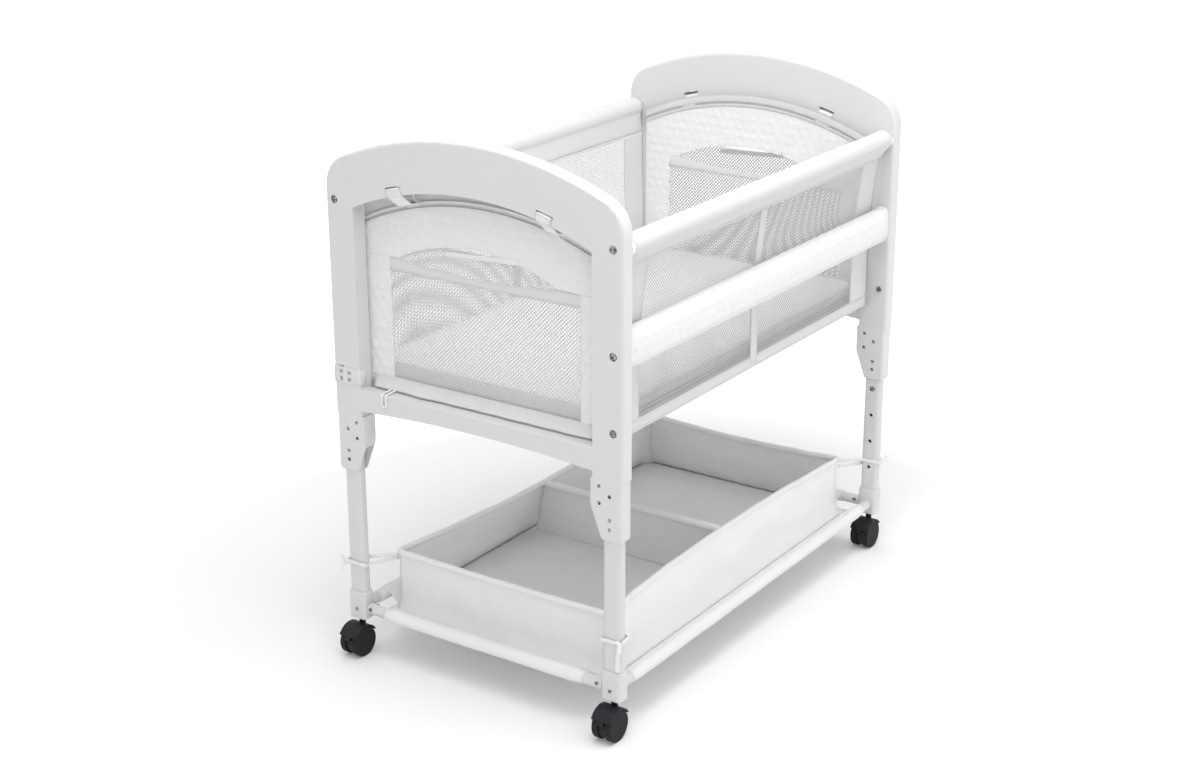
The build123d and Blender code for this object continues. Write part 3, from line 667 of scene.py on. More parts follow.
def makeEndWall(side, end):
    node = side + "_end_wall"
    middle, foot, half = room(node)[0].x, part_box(node)[0].z, endWall["half"]
    beadAt = endWall["bead"][side]
    quiltTop = beadAt - endWall["quiltDrop"]

    def point(y, z, out=0.0):
        # the cloth hangs slack between its hems, so it ripples a little
        slack = endWall["slack"] * ripple(y * 14, z * 7, end * 3.1)
        return Vector((middle + end * (out + slack + endWall["pucker"] * ripple(y * 33, z * 12, end)), y, z))

    def strip(name, yFrom, yTo, footAt, topAt, columns, rows, thickness, out=0.0, dotted=False):
        def place(across, along):
            y = yFrom + (yTo - yFrom) * across
            z = footAt(y) + (topAt(y) - footAt(y)) * along
            return point(y, z, out + (dotRelief(y, z) if dotted else 0.0))
        size = (yTo - yFrom, topAt(0) - footAt(0))
        return clothGrid(name, place, columns, rows, thickness, size)

    def rollPlace(across, along):
        # the foot of the wall is folded outwards over the bottom rail
        y = half * (2 * across - 1)
        free = min(max((endWall["rollHalf"] + 0.004 - abs(y)) / 0.012, 0.0), 1.0)
        rise = (endWall["rollTop"] + endWall["rollDrop"]) * along - endWall["rollDrop"]
        share = max(0.0, rise / endWall["rollTop"])
        bulge = (1 - share) ** 1.6 * (1 + 0.2 * ripple(y * 22, 0, end * 2.0)) if rise > -0.0005 else 0.0
        lift = 0.0022 * ripple(y * 40, along * 2, end * 5.0) * math.sin(math.pi * share)
        return point(y, foot + rise + lift, 0.0014 + free * endWall["rollOut"] * bulge)

    window, hem = endWall["windowHalf"], endWall["hemFoot"]
    quilts = [strip("quilt", -half, half, lensTop, lambda y: arcHeight(quiltTop, y), 220, 52,
                    endWall["plush"], out=0.0004, dotted=True)]
    for flank in (-1, 1):
        yFrom, yTo = sorted((flank * (window - 0.001), flank * half))
        quilts.append(strip("sideStrip", yFrom, yTo, lambda y: foot, lambda y: endWall["lensTip"], 28, 90,
                            endWall["plush"], out=0.0004, dotted=True))
    quilt = join(side + "EndQuilt", quilts, "bassinet", "quilted_fabric", node)
    plain = [strip("hemBand", -window, window, lambda y: hem, lensFoot, 90, 3, endWall["cloth"], 0.0002),
             clothGrid("footRoll", rollPlace, 160, 24, endWall["cloth"], (2 * half, 0.05))]
    cloth = join(side + "EndCloth", plain, "bassinet", "liner_fabric")

    height = endWall["lensTop"] - foot

    def spotOf(across, along):
        return -half + 2 * half * across, foot + height * along

    knit = knitMesh(side + "EndMesh", lambda *shares: point(*spotOf(*shares)), 2 * half, height,
                    lambda *shares: insideEnd(*spotOf(*shares)),
                    endWall["meshSide"], endWall["meshOpening"], "bassinet", endWall["yarn"][side])
    bead = [point(half * t, arcHeight(beadAt, half * t), 0.0006) for t in evenly(60)]

    def arcStrip(name, start, rise, out, rows, length):
        def place(across, along):
            y = half * (2 * across - 1)
            return point(y, arcHeight(start + rise * along, y), out)
        return clothGrid(name, place, 120, rows, 0.0008, (2 * half, length))

    # the shade sheet: a cloth strip recessed behind the bead and reaching up behind the arch, put in the gap
    # so that it reads as the shade there
    rise = endWall["shadeSheetTop"][side] - beadAt
    cord = sweep("bead", bead, roundSection(endWall["beadRadius"]), (1, 0, 0))
    flange = arcStrip("flange", quiltTop - 0.002, 0.0065, -0.0014, 2, 0.006)
    piping = join(side + "EndPiping", [cord, flange], "bassinet", "liner_fabric")
    shadeSheet = fit(arcStrip(side + "EndLining", beadAt, rise, -0.0034, 3, rise), "bassinet", "liner_mesh")
    edge = 0.0012
    lensLine = [endWall["lensShift"] + endWall["seamHalf"] * t for t in evenly(30)]
    seams = [[point(y, lensTop(y) + 0.003, edge + 0.001) for y in lensLine],
             [point(y, lensFoot(y) - 0.0025, edge) for y in lensLine],
             [point(y, arcHeight(quiltTop - 0.004, y), edge + 0.0016)
              for y in (-half + 0.004 + 0.005 * k for k in range(90))]]
    seams += [[point(flank * (window + 0.0025), foot + 0.036 + 0.006 * k, edge + 0.001) for k in range(28)]
              for flank in (-1, 1)]
    stitches = sewLine(side + "EndStitches", seams, "bassinet", "liner_fabric")
    tape = [point(y, endWall["webbingZ"] - endWall["webbingSlope"] * y, 0.0022)
            for y in (endWall["webbingHalf"] * t for t in evenly(12))]
    webbing = fit(sweep(side + "EndWebbing", tape, tapeSection(endWall["webbingWidth"], 0.0012)),
                  "bassinet", "tie_tape")
    width, tall = 2 * half, arcHeight(quiltTop, 0) - foot


def insideEnd(y, z):
    window = abs(y) < endWall["windowHalf"] + 0.002 and z < endWall["hemFoot"] + 0.003
    lens = lensFoot(y) - 0.003 < z < lensTop(y) + 0.003
    return window or (lens and abs(y - endWall["lensShift"]) < endWall["lensHalf"])


# Long walls of the liner
longWall = {"half": 0.394,
            "frontCurve": [(0.2313, 0.4605), (0.2313, 0.574), (0.2348, 0.64), (0.2452, 0.7265)],
            "rearCurve": [(0.2313, 0.4605), (0.2313, 0.6), (0.2336, 0.7125)],
            "cornerWidth": 0.06, "strapHalf": 0.0105, "cloth": 0.0016, "meshSide": 0.0038, "meshOpening": 0.6,
            "footHem": 0.055, "topHem": 0.985, "pipe": 0.0016, "slack": 0.0018, "pucker": 0.0004}


def middleX():
    return (faceX("left_arch", -1) + faceX("right_arch", 1)) / 2


def makeLongWall(side, flank):
    node = side + "_wall"
    curve = smoothPath([(0, flank * y, z) for y, z in longWall[side + "Curve"]], 16)
    centre, half = middleX(), longWall["half"]
    tall = sum((curve[k + 1] - curve[k]).length for k in range(len(curve) - 1))

    def point(x, share, out=0.0):
        spot = alongPath(curve, share)
        hold = math.sin(math.pi * min(max(share, 0), 1))
        slack = (longWall["slack"] * ripple(x * 7, share * 3, 2.0, flank)
                 + longWall["pucker"] * ripple(x * 25, share * 6, 5.0, flank)) * hold
        return Vector((centre + x, spot.y + flank * (out + slack), spot.z))

    def strip(name, xFrom, xTo, shareFrom, shareTo, columns, rows, out):
        return clothGrid(name, lambda across, along: point(xFrom + (xTo - xFrom) * across,
                                                          shareFrom + (shareTo - shareFrom) * along, out),
                         columns, rows, longWall["cloth"], (xTo - xFrom, (shareTo - shareFrom) * tall))

    corner, strap = longWall["cornerWidth"], longWall["strapHalf"]
    footHem, topHem = longWall["footHem"], longWall["topHem"]
    foot = sweep("footPipe", [point(half * t, 0.006, 0.0012) for t in evenly(80)],
                 roundSection(longWall["pipe"], sides=8))
    plain = [strip("leftCorner", -half, corner - half, 0, 1, 12, 44, 0.0004),
             strip("rightCorner", half - corner, half, 0, 1, 12, 44, 0.0004),
             strip("strap", -strap, strap, 0.02, 0.99, 4, 40, 0.0012),
             strip("footHem", -half, half, 0, footHem, 120, 3, 0.0008),
             strip("topHem", -half, half, topHem, 1, 120, 2, 0.0008), foot]
    cloth = join(side + "WallCloth", plain, "bassinet", "liner_fabric", node)

    def inside(across, along):
        return abs(2 * across - 1) * half < half - corner + 0.002 and footHem - 0.01 < along < topHem + 0.005

    # the long walls' mesh takes the darker yarn, painted shade
    knit = knitMesh(side + "WallMesh", lambda across, along: point(half * (2 * across - 1), along),
                    2 * half, tall, inside,
                    longWall["meshSide"], longWall["meshOpening"], "bassinet", "painted_shade_mesh")
    seams = []
    for x in (corner - half - 0.002, half - corner + 0.002, -strap + 0.002, strap - 0.002):
        seams.append([point(x, 0.06 + 0.92 * k / 40, 0.002) for k in range(41)])
    seams.append([point(half * t * 0.99, footHem - 0.01, 0.0018) for t in evenly(60)])
    stitches = sewLine(side + "WallStitches", seams, "bassinet", "liner_fabric")
    yarnShare = 1 - longWall["meshOpening"] ** 2
    area = 2 * (half - corner) * (topHem - footHem) * tall * yarnShare
    2 * half


# Sleeves on the top rails
topSleeve = {"radius": 0.0163, "cloth": 0.0012, "wrap": 250, "seamY": {"front": 0.246, "rear": 0.2375},
             "flapShare": 0.2, "pinchFrom": 0.985, "pinch": 0.3}


def makeTopSleeve(side, flank):
    node = side + "_top_sleeve"
    low, (middle, reach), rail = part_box(node)[0], room(node), room(side + "_top_rail")[0]
    centre, half, radius = middle.x, reach.x - 0.0006, topSleeve["radius"]
    seamY = flank * topSleeve["seamY"][side]
    seamZ = low.z + 0.002
    flap, pinchFrom = topSleeve["flapShare"], topSleeve["pinchFrom"]

    def place(across, along):
        x = half * (2 * across - 1)
        turn = math.radians(topSleeve["wrap"] * (min(max((along - flap) / (1 - 2 * flap), 0), 1) - 0.5))
        gather = 1 - topSleeve["pinch"] * max(0, abs(2 * across - 1) - pinchFrom) / (1 - pinchFrom)
        swell = gather * (radius + 0.0006 * ripple(x * 20, along * 6, 7.0, flank))
        rolled = Vector((0, rail.y - flank * swell * math.sin(turn), rail.z + swell * math.cos(turn)))
        seam = Vector((0, seamY + flank * 0.0008 * (1 if along > 0.5 else -1), seamZ))
        pull = max(flap - along, along - 1 + flap, 0) / flap
        spot = rolled.lerp(seam, pull)
        wave = 0.0012 * pull * (1 - pull) * 4 * ripple(x * 30, along * 3, 9.0, flank)
        drop = 0.0014 * pull * ripple(x * 9, 0, 4.0, flank)
        return Vector((centre + x, spot.y + wave, spot.z + drop))

    sleeve = clothGrid(side + "TopSleeve", place, 190, 40, topSleeve["cloth"], (2 * half, 0.13))
    fit(sleeve, "bassinet", "liner_fabric", node)
    seams = [[Vector((centre + half * 0.99 * t, seamY + flank * 0.0022, seamZ + rise)) for t in evenly(80)]
             for rise in (0.0035, 0.009)]
    stitches = sewLine(side + "SleeveStitches", seams, "bassinet", "liner_fabric")


# Padded cover of the middle rail
middlePad = {"columns": 150, "around": 30, "shrink": 0.0022, "voxel": 0.005, "cap": 0.003, "power": 0.55,
             "cuff": 0.0028, "cuffAround": 32, "dotsY": -0.252}


def makeMiddlePad():
    centre, size = room("front_middle_pad")
    sides, columns, shrink = middlePad["around"], middlePad["columns"], middlePad["shrink"]
    verts = []
    for column in range(columns + 1):
        across = 2 * column / columns - 1
        crown = (1 - abs(across) ** 30) ** 0.5
        for k in range(sides):
            turn = 2 * math.pi * k / sides
            c, s = math.cos(turn), math.sin(turn)
            thin = (size.y - shrink) * (0.84 + 0.16 * crown) * (1 + 0.04 * ripple(across * 9, s, 3.3))
            tall = (size.z - shrink) * (0.95 + 0.05 * crown) * (1 + 0.02 * ripple(across * 13, c, 8.0))
            verts.append(centre + Vector((size.x * across,
                                          thin * rounded(c, middlePad["power"]),
                                          tall * rounded(s, middlePad["power"]))))
    faces = ringFaces(columns + 1, sides)
    pad = inflate(newPiece("middlePadCover", verts, faces, closed=True), middlePad["voxel"], middlePad["cap"])
    refine(pad)
    for vert in pad.data.vertices:
        away = vert.co - centre
        flat = max(0.0, 1 - abs(away.z) / size.z * 0.6)
        away.x = 0
        relief = dotRelief(vert.co.x, vert.co.z + abs(vert.co.y - middlePad["dotsY"]))
        vert.co += away.normalized() * relief * flat
    shadeSmooth(pad)
    fit(pad, "bassinet", "quilted_fabric", "front_middle_pad")
    cuffs, around = [], middlePad["cuffAround"]
    for end in (-1, 1):
        x = centre.x + end * size.x
        rows = [(x - end * 0.006, 0.97), (x - end * 0.001, 0.99), (x + end * 0.0014, 0.97),
                (x + end * middlePad["cuff"], 0.92)]
        verts = []
        for at, share in rows:
            for k in range(around):
                c, s = math.cos(2 * math.pi * k / around), math.sin(2 * math.pi * k / around)
                verts.append(Vector((at, centre.y + (size.y - 0.003) * share * rounded(c, 0.5),
                                     centre.z + size.z * share * rounded(s, 0.6))))
        cuffs.append(newPiece("padCuff", verts, ringFaces(len(rows), around), closed=True))
    join("padCuffs", cuffs, "bassinet", "quilted_fabric")
    seamY = centre.y + size.y - 0.0015
    seam = [Vector((centre.x + size.x * 0.985 * t, seamY, centre.z - 0.012 + 0.001 * ripple(k * 0.2, 0, 1)))
            for k, t in enumerate(evenly(80))]
    sewLine("padStitches", [seam], "bassinet", "quilted_fabric")


# Mattress and the liner's floor; each ring has its reach, its level and how far its long sides
# stay back from the low rails
mattress = {"corner": 0.03, "shrink": 0.0025, "voxel": 0.006, "cap": 0.0025, "piping": 0.0028,
            "pipeLevels": (-0.28, 0.74),
            "rings": ((0.0, -1.0, 0), (0.35, -1.0, 0.004), (0.7, -1.0, 0.008), (0.96, -0.99, 0.01),
                      (1.0, -0.85, 0.01), (1.0, -0.45, 0.01), (1.0, -0.25, 0.001), (1.0, 0.4, 0),
                      (0.99, 0.8, 0), (0.96, 0.98, 0), (0.7, 1.0, 0), (0.35, 1.0, 0), (0.0, 1.0, 0))}


def roundedRectangle(halfX, halfY, corner, steps):
    outline = []
    for quarter, (sx, sy) in enumerate(((1, 1), (-1, 1), (-1, -1), (1, -1))):
        for step in range(steps + 1):
            turn = math.pi / 2 * (quarter + step / steps)
            outline.append((sx * (halfX - corner) + corner * math.cos(turn),
                            sy * (halfY - corner) + corner * math.sin(turn)))
    return outline


def makeMattress():
    centre, size = room("mattress_pad")
    shrink = mattress["shrink"]
    outline = roundedRectangle(size.x - shrink, size.y - shrink, mattress["corner"], 6)
    verts = []
    for reach, level, back in mattress["rings"]:
        reach = max(reach, 0.004)
        for x, y in outline:
            verts.append(centre + Vector((x * reach, y * reach * (1 - back / size.y),
                                          (size.z - shrink * 0.6) * level)))
    pad = newPiece("mattressCover", verts, ringFaces(len(mattress["rings"]), len(outline)), closed=True)
    inflate(pad, mattress["voxel"], mattress["cap"])
    refine(pad)
    for vert in pad.data.vertices:
        top = max(0.0, (vert.co.z - centre.z) / size.z)
        vert.co.z += top * 0.0012 * ripple(vert.co.x * 11, vert.co.y * 17, 2.0)
    shadeSmooth(pad)
    fit(pad, "mattress", "mattress_fabric", "mattress_pad")
    edge = roundedRectangle(size.x - 0.001, size.y - 0.001, mattress["corner"], 8)
    cord = roundSection(mattress["piping"] / 2, sides=8)
    pipes = [sweep("pipe", [(centre.x + x, centre.y + y, centre.z + level * size.z) for x, y in edge],
                   cord, closed=True) for level in mattress["pipeLevels"]]
    join("mattressPiping", pipes, "mattress", "mattress_fabric")


def makeLinerFloor():
    middle, reach = room("liner_floor")
    half, wide, level = reach.x, reach.y, middle.z - reach.z + 0.0012

    def place(across, along):
        x, y = half * (2 * across - 1), wide * (2 * along - 1)
        return Vector((middle.x + x, y, level + 0.0006 * ripple(x * 8, y * 10, 6.0)))

    floor = clothGrid("linerFloor", place, 90, 60, 0.0016, (2 * half, 2 * wide))
    fit(floor, "bassinet", "liner_fabric", "liner_floor")


# Tabs through the arches, and the pull loop on the left end
tab = {"halfWidth": 0.0135, "thickness": 0.0009, "outerDrop": 0.003, "slotY": 0.137, "slotZ": 0.793,
       "archUnder": 0.532, "exit": 0.0011, "skew": 0.003, "skewed": {"left_front": -0.0105}}


def makeTabs():
    pieces = []
    for side, end in ends:
        outer, inner = faceX(side + "_arch", end), faceX(side + "_arch", -end)
        beadX = room(side + "_end_wall")[0].x
        slotY, slotZ, bead = tab["slotY"], tab["slotZ"] - endWall["arcCentre"], endWall["bead"][side]
        half, under, core = tab["halfWidth"], tab["archUnder"], (outer + inner) / 2
        for corner, flank in flanks:
            lean = math.atan2(flank * slotY, slotZ)
            top = math.hypot(slotY, slotZ) - tab["exit"]
            skew = tab["skewed"].get(side + "_" + corner, tab["skew"] * flank * end)
            # x, radius and sideways shift, from the slot down the outside, round the bead and back up
            line = smoothPath([
                (core, top, 0), (outer + end * 0.0005, top + 0.0006, 0),
                (outer + end * 0.0012, top - 0.0035, 0.0002), (outer + end * 0.001, under + 0.002, 0.0005),
                (outer - end * 0.001, under - tab["outerDrop"], skew),
                (core - end * 0.002, bead + 0.0035, skew * 1.2),
                (beadX + end * 0.0028, bead + 0.0012, skew), (beadX, bead - 0.003, skew),
                (beadX - end * 0.0032, bead + 0.001, skew), (inner - end * 0.0026, bead + 0.007, 0.001),
                (inner - end * 0.001, under + 0.002, 0), (inner - end * 0.0008, top - 0.003, 0),
                (core - end * 0.001, top - 0.0004, 0)], 8)

            def place(across, along):
                spot = alongPath(line, along)
                w = half * (2 * across - 1) + spot.z
                r = spot.y - 0.0007 * (2 * across - 1) ** 2
                return Vector((spot.x, r * math.sin(lean) + w * math.cos(lean),
                               endWall["arcCentre"] + r * math.cos(lean) - w * math.sin(lean)))

            pieces.append(clothGrid("tab", place, 8, 90, tab["thickness"], (2 * half, 0.14)))
    join("linerTabs", pieces, "bassinet", "tie_tape", "liner_tabs")


pullLoop = {"strands": (0.1725, 0.1645), "radius": 0.002, "flat": 0.7, "foot": 0.444}


def makePullLoop():
    rail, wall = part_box("left_bottom_rail"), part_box("left_end_wall")
    outer, top, foot = rail[0].x, rail[1].z, pullLoop["foot"]
    first, last = pullLoop["strands"]

    def strand(y):
        return [(x, y, z) for x, z in (
            (wall[0].x - 0.001, top + 0.006), (rail[1].x + 0.001, top + 0.003), (outer + 0.004, top + 0.0016),
            (outer - 0.0008, top), (outer - 0.0014, top - 0.005), (outer - 0.0014, foot + 0.003))]

    line = smoothPath(strand(first) + [(outer - 0.0018, (first + last) / 2, foot)] + strand(last)[::-1], 6)
    loop = sweep("pullLoop", line, roundSection(pullLoop["radius"], flat=pullLoop["flat"]), (1, 0, 0.02))
    fit(loop, "bassinet", "tie_tape")


# Basket
basket = {"skirtCloth": 0.0024, "cloth": 0.0016, "seam": 0.0022, "rim": 0.0042, "wave": 0.006,
          "around": 280, "up": 22, "bowX": 0.006, "bowY": 0.024, "flapInset": 0.014, "flare": 0.012,
          "clear": 0.0008, "cornerPull": 0.007, "rimDrop": 0.0045, "rimSag": 0.005, "foldLevel": 0.84,
          "foldDepth": 0.004, "stitchLevel": 0.9, "rimSteps": 320}


def makeBasket():
    (low, high), (centre, half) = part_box("basket_tray"), room("basket_tray")
    halfX, halfY = half.x - basket["clear"], half.y - basket["clear"]
    foot, top = low.z + 0.0012, high.z

    def outline(share, level):
        # goes once round the four sides; level runs from the foot to the rim
        spot = (share % 1.0) * 4
        leg, t = int(spot), spot - int(spot)
        bow = level * (basket["bowX"] if leg % 2 else basket["bowY"])
        depth = bow * (1 - (2 * t - 1) ** 2)
        wave = basket["wave"] * math.sin(math.pi * level) * (0.35 + 0.65 * math.sin(math.pi * t))
        depth -= wave * ripple(share * 34, level * 2.2, 4.0) + 0.5 * wave * ripple(share * 90, level * 3, 9.0)
        turns = [(-1, -1), (1, -1), (1, 1), (-1, 1), (-1, -1)]
        x = halfX * (turns[leg][0] + (turns[leg + 1][0] - turns[leg][0]) * t)
        y = halfY * (turns[leg][1] + (turns[leg + 1][1] - turns[leg][1]) * t)
        inward = [(0, 1), (-1, 0), (0, -1), (1, 0)][leg]
        corner = basket["cornerPull"] * max(0.0, 1 - min(t, 1 - t) / 0.02) ** 2
        flare = basket["flare"] * max(0.0, 1 - level / 0.3) ** 2
        x -= math.copysign(corner, x)
        y -= math.copysign(corner, y)
        depth = max(depth, 0.0) - flare
        return x + inward[0] * depth, y + inward[1] * depth

    def rimHeight(share):
        t = (share * 4) % 1.0
        sag = basket["rimSag"] * math.sin(math.pi * t) + 0.0016 * ripple(share * 40, 0, 2.0)
        return top - basket["rimDrop"] - sag

    def wallPlace(across, along):
        x, y = outline(across, along)
        fold = basket["foldDepth"] * math.exp(-((along - basket["foldLevel"]) / 0.025) ** 2)
        z = foot + (rimHeight(across) - foot) * along
        return Vector((centre.x + x * (1 - fold), centre.y + y * (1 - fold), z))

    def floorPlace(across, along):
        reachX, reachY = halfX + basket["flare"], halfY + basket["flare"]
        x, y = (2 * across - 1) * reachX, (2 * along - 1) * reachY
        crease = 0.0012 * abs(ripple(x * 13, y * 9, 1.0)) + 0.0008 * ripple(x * 30, y * 24, 3.0)
        edge = min(1.0, (reachX - abs(x)) / 0.03, (reachY - abs(y)) / 0.03)
        return Vector((centre.x + x, centre.y + y, foot + crease * max(edge, 0)))

    around = 2 * (2 * halfX + 2 * halfY)
    walls = clothGrid("walls", wallPlace, basket["around"], basket["up"], basket["cloth"],
                      (around, top - foot))
    floor = clothGrid("floor", floorPlace, 96, 60, basket["cloth"], (2 * halfX, 2 * halfY))
    bag = join("basketBag", [walls, floor], "stand", "basket_fabric", "basket_tray")

    rimShares = [k / basket["rimSteps"] for k in range(basket["rimSteps"] + 1)]
    rimLine = [wallPlace(share, 1.0) for share in rimShares[:-1]]
    rim = sweep("rim", rimLine, roundSection(basket["rim"], flat=1.25), closed=True)
    seams = [rim]
    for corner in range(4):
        line = [wallPlace(corner / 4 + 0.0004, level / 16) for level in range(17)]
        seams.append(sweep("cornerSeam", line, roundSection(basket["seam"] * 0.6, sides=8), (1, 0.3, 0)))
    footLine = [wallPlace(k / basket["around"], 0.0) for k in range(basket["around"])]
    seams.append(sweep("footSeam", footLine, roundSection(basket["seam"] * 0.7, sides=8), closed=True))
    hems = join("basketHems", seams, "stand", "basket_fabric")
    line = [wallPlace(share, basket["stitchLevel"]) for share in rimShares]
    line = [spot + Vector((spot.x - centre.x, spot.y - centre.y, 0)).normalized() * 0.0012 for spot in line]
    stitches = sewLine("basketStitches", [line], "stand", "basket_fabric", pitch=0.005, reach=0.0018)
    area = around * (top - foot) + 4 * halfX * halfY
    return centre, halfX, halfY, foot


def makeFlaps(centre, halfX, halfY, foot):
    # the lower edge is stretched out to the sleeves on the base rails
    inset, pieces = basket["flapInset"], []
    sleeve = baseSleeve["radius"] + 0.0006

    def profile(share, wall, railAt, railZ):
        start = (wall + basket["flare"], foot + 0.001)
        stop = (railAt - sleeve * 0.75, railZ + sleeve * 0.5)
        return start[0] + (stop[0] - start[0]) * share, start[1] + (stop[1] - start[1]) * share

    for name, axis, sign in (("front", 0, -1), ("rear", 0, 1), ("left", 1, -1), ("right", 1, 1)):
        spot = room(name + "_base_rail")[0]
        wall, run = (halfX, halfY - inset) if axis else (halfY, halfX - inset)
        railAt = abs(spot.x - centre.x) if axis else abs(spot.y)

        def place(across, along):
            out, level = profile(along, wall, railAt, spot.z)
            level += 0.0012 * ripple(across * run * 90, along * 1.5, 5.0, sign) * along
            level += 0.0006 * ripple(across * run * 260, along, 2.0, sign) * along
            first = (2 * across - 1) * run
            return Vector((centre.x + sign * out, first, level)) if axis else \
                Vector((centre.x + first, sign * out, level))

        pieces.append(clothGrid("flap", place, 120 if axis else 220, 10, 0.0012, (2 * run, railAt - wall)))
    flaps = join("basketFlaps", pieces, "stand", "basket_fabric", "basket_skirt")
    # the cut's width is the slope from the tray's wall out to the skirt's edge
    (skirtLow, skirtHigh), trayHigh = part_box("basket_skirt"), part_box("basket_tray")[1]
    rise = skirtHigh.z - skirtLow.z - basket["skirtCloth"]
    longWays, shortWays = 4 * (halfX - inset), 4 * (halfY - inset)
    slopes = [math.hypot(skirtHigh[axis] - trayHigh[axis], rise) for axis in (0, 1)]
    width = (longWays * slopes[1] + shortWays * slopes[0]) / (longWays + shortWays)
    longWays + shortWays


baseSleeve = {"radius": 0.0105, "cloth": 0.0012, "gather": 0.02, "pinch": 0.16, "puckers": 9,
              "shortHalf": 0.193, "longHalf": 0.381}


def makeBaseSleeves():
    pieces, total = [], 0.0
    for name, axis in (("left", 1), ("right", 1), ("front", 0), ("rear", 0)):
        spot = room(name + "_base_rail")[0]
        half = baseSleeve["shortHalf" if axis else "longHalf"]
        total += 2 * half

        def place(across, along):
            run = half * (2 * across - 1)
            edge = (half - abs(run)) / baseSleeve["gather"]
            pinch, turn = max(0.0, 1 - edge), 2 * math.pi * along
            pucker = 0.0006 * math.sin(turn * baseSleeve["puckers"]) * pinch
            swell = baseSleeve["radius"] * (1 - baseSleeve["pinch"] * pinch) + pucker
            wave = 0.0005 * ripple(run * 22, along * 4, 3.0, spot[1 - axis])
            sideways, rise = (swell + wave) * math.sin(turn), (swell + wave) * math.cos(turn)
            return spot + (Vector((sideways, run, rise)) if axis else Vector((run, sideways, rise)))

        columns = 80 if axis else 130
        pieces.append(clothGrid("sleeve", place, columns, 30, baseSleeve["cloth"], (2 * half, 0.085)))
    sleeves = join("baseRailSleeves", pieces, "stand", "basket_fabric", "basket_sleeves")


divider = {"rollDrop": 0.007, "rollRadius": 0.0066, "topHalf": 0.181, "cloth": 0.0016}


def makeDivider():
    (low, high), (centre, reach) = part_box("basket_divider"), room("basket_divider")
    middle, half = centre.x, reach.y
    rollZ, radius, topHalf = high.z - divider["rollDrop"], divider["rollRadius"], divider["topHalf"]

    def place(across, along):
        y = (2 * across - 1) * (half + (topHalf - half) * along)
        slack = 0.0016 * ripple(across * 9, along * 2.5, 4.0) * math.sin(math.pi * along)
        return Vector((middle + slack, y, low.z + 0.001 + (rollZ - low.z - 0.004) * along))

    panel = clothGrid("dividerPanel", place, 90, 26, divider["cloth"], (2 * half, high.z - low.z))
    fit(panel, "stand", "basket_fabric", "basket_divider")
    line = [(middle, topHalf * t, rollZ + 0.0006 * ripple(k * 0.4, 0, 2)) for k, t in enumerate(evenly(40))]

    def rolled(share):
        pinch = 1 - 0.25 * max(0.0, abs(2 * share - 1) - 0.95) / 0.05
        swell = radius * pinch * (1 + 0.05 * ripple(share * 22, 0, 6.0))
        return roundSection(swell, sides=16)

    roll = fit(sweep("dividerRoll", line, rolled), "stand", "basket_fabric")


# Tape ties between the basket's corners and the legs
tie = {"width": 0.0066, "thickness": 0.0009, "level": 0.1605, "apart": 0.0042, "gap": 0.0014,
       "knot": 0.0048, "wrap": 0.0023,
       "tails": {"left_front": ((0.0, -0.046, -0.6), (0.004, -0.012, 0.6)),
                 "left_rear": ((0.008, 0.013, 0.5), (0.007, -0.014, 0.7)),
                 "right_front": ((0.014, 0.004, 0.4), (0.013, -0.006, 0.7)),
                 "right_rear": ((0.009, 0.012, 0.6), (0.008, -0.014, 0.5))}}


def makeTies():
    bagLow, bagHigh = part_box("basket_tray")
    pieces = []

    def tailSection(share):
        # each tail widens towards its cut end
        return tapeSection(tie["width"] * (0.7 + 0.6 * share), tie["thickness"])

    def coreSection(share):
        return roundSection(0.0012 + 0.0026 * math.sin(math.pi * share), sides=8)

    for corner, tails in tie["tails"].items():
        end, flank = (-1 if "left" in corner else 1), (-1 if "front" in corner else 1)
        leg, reach = room(corner + "_leg")
        level, gap, apart = tie["level"], tie["gap"], tie["apart"]
        bagX = (bagLow.x if end < 0 else bagHigh.x) - end * 0.002
        bagY = (bagLow.y if flank < 0 else bagHigh.y) - flank * 0.002
        outX, outY = leg.x + end * (reach.x + gap), leg.y + flank * (reach.y + gap)
        inX, inY = leg.x - end * (reach.x + gap), leg.y - flank * (reach.y + gap)
        upper, lower = level + apart, level - apart
        # one run passes inside the leg and across its front, the other behind it and along its outside
        runs = [[(bagX, bagY - flank * 0.004, upper + 0.002),
                 (inX - end * 0.004, inY + flank * 0.004, upper + 0.001), (inX, leg.y, upper),
                 (inX + end * 0.003, outY, upper), (leg.x, outY + flank * 0.0004, level + 0.001),
                 (outX - end * 0.004, outY, level)],
                [(bagX - end * 0.003, bagY, lower + 0.002), (inX - end * 0.002, inY - flank * 0.001, lower),
                 (leg.x, inY, lower), (outX - end * 0.001, inY, level - 0.001),
                 (outX + end * 0.0004, leg.y, level), (outX, outY - flank * 0.003, level)]]
        for run in runs:
            pieces.append(sweep("run", smoothPath(run, 8), tapeSection(tie["width"], tie["thickness"])))
        knotAt = Vector((outX + end * 0.0015, outY - flank * 0.002, level))
        size = tie["knot"]
        knotLine = [knotAt + Vector((end * size * math.cos(turn) * 0.5, size * math.sin(turn) * 0.6,
                                     size * math.sin(turn + 0.6) * 0.8))
                    for turn in (2 * math.pi * k / 20 for k in range(20))]
        wrap = roundSection(tie["wrap"], flat=0.8, sides=8)
        pieces.append(sweep("knot", knotLine, wrap, (0.3, 0.2, 1), closed=True))
        core = [knotAt + Vector((0, 0, size * (k / 6 - 0.5) * 1.5)) for k in range(7)]
        pieces.append(sweep("knotCore", core, coreSection, (1, 0, 0)))
        for out, rise, lean in tails:
            steps = [(0, 0, 0), (0.35, 0.2, 0.4), (0.8, 0.55, 0.9), (1, 1, 1)]
            line = [knotAt + Vector((end * (0.0012 + out * a), flank * (0.0012 + 0.004 * lean * c), rise * b))
                    for a, b, c in steps]
            pieces.append(sweep("tail", smoothPath(line, 8), tailSection, (0.35 * end, 1.0, 0.15)))
    join("basketTies", pieces, "stand", "tie_tape", "basket_ties")


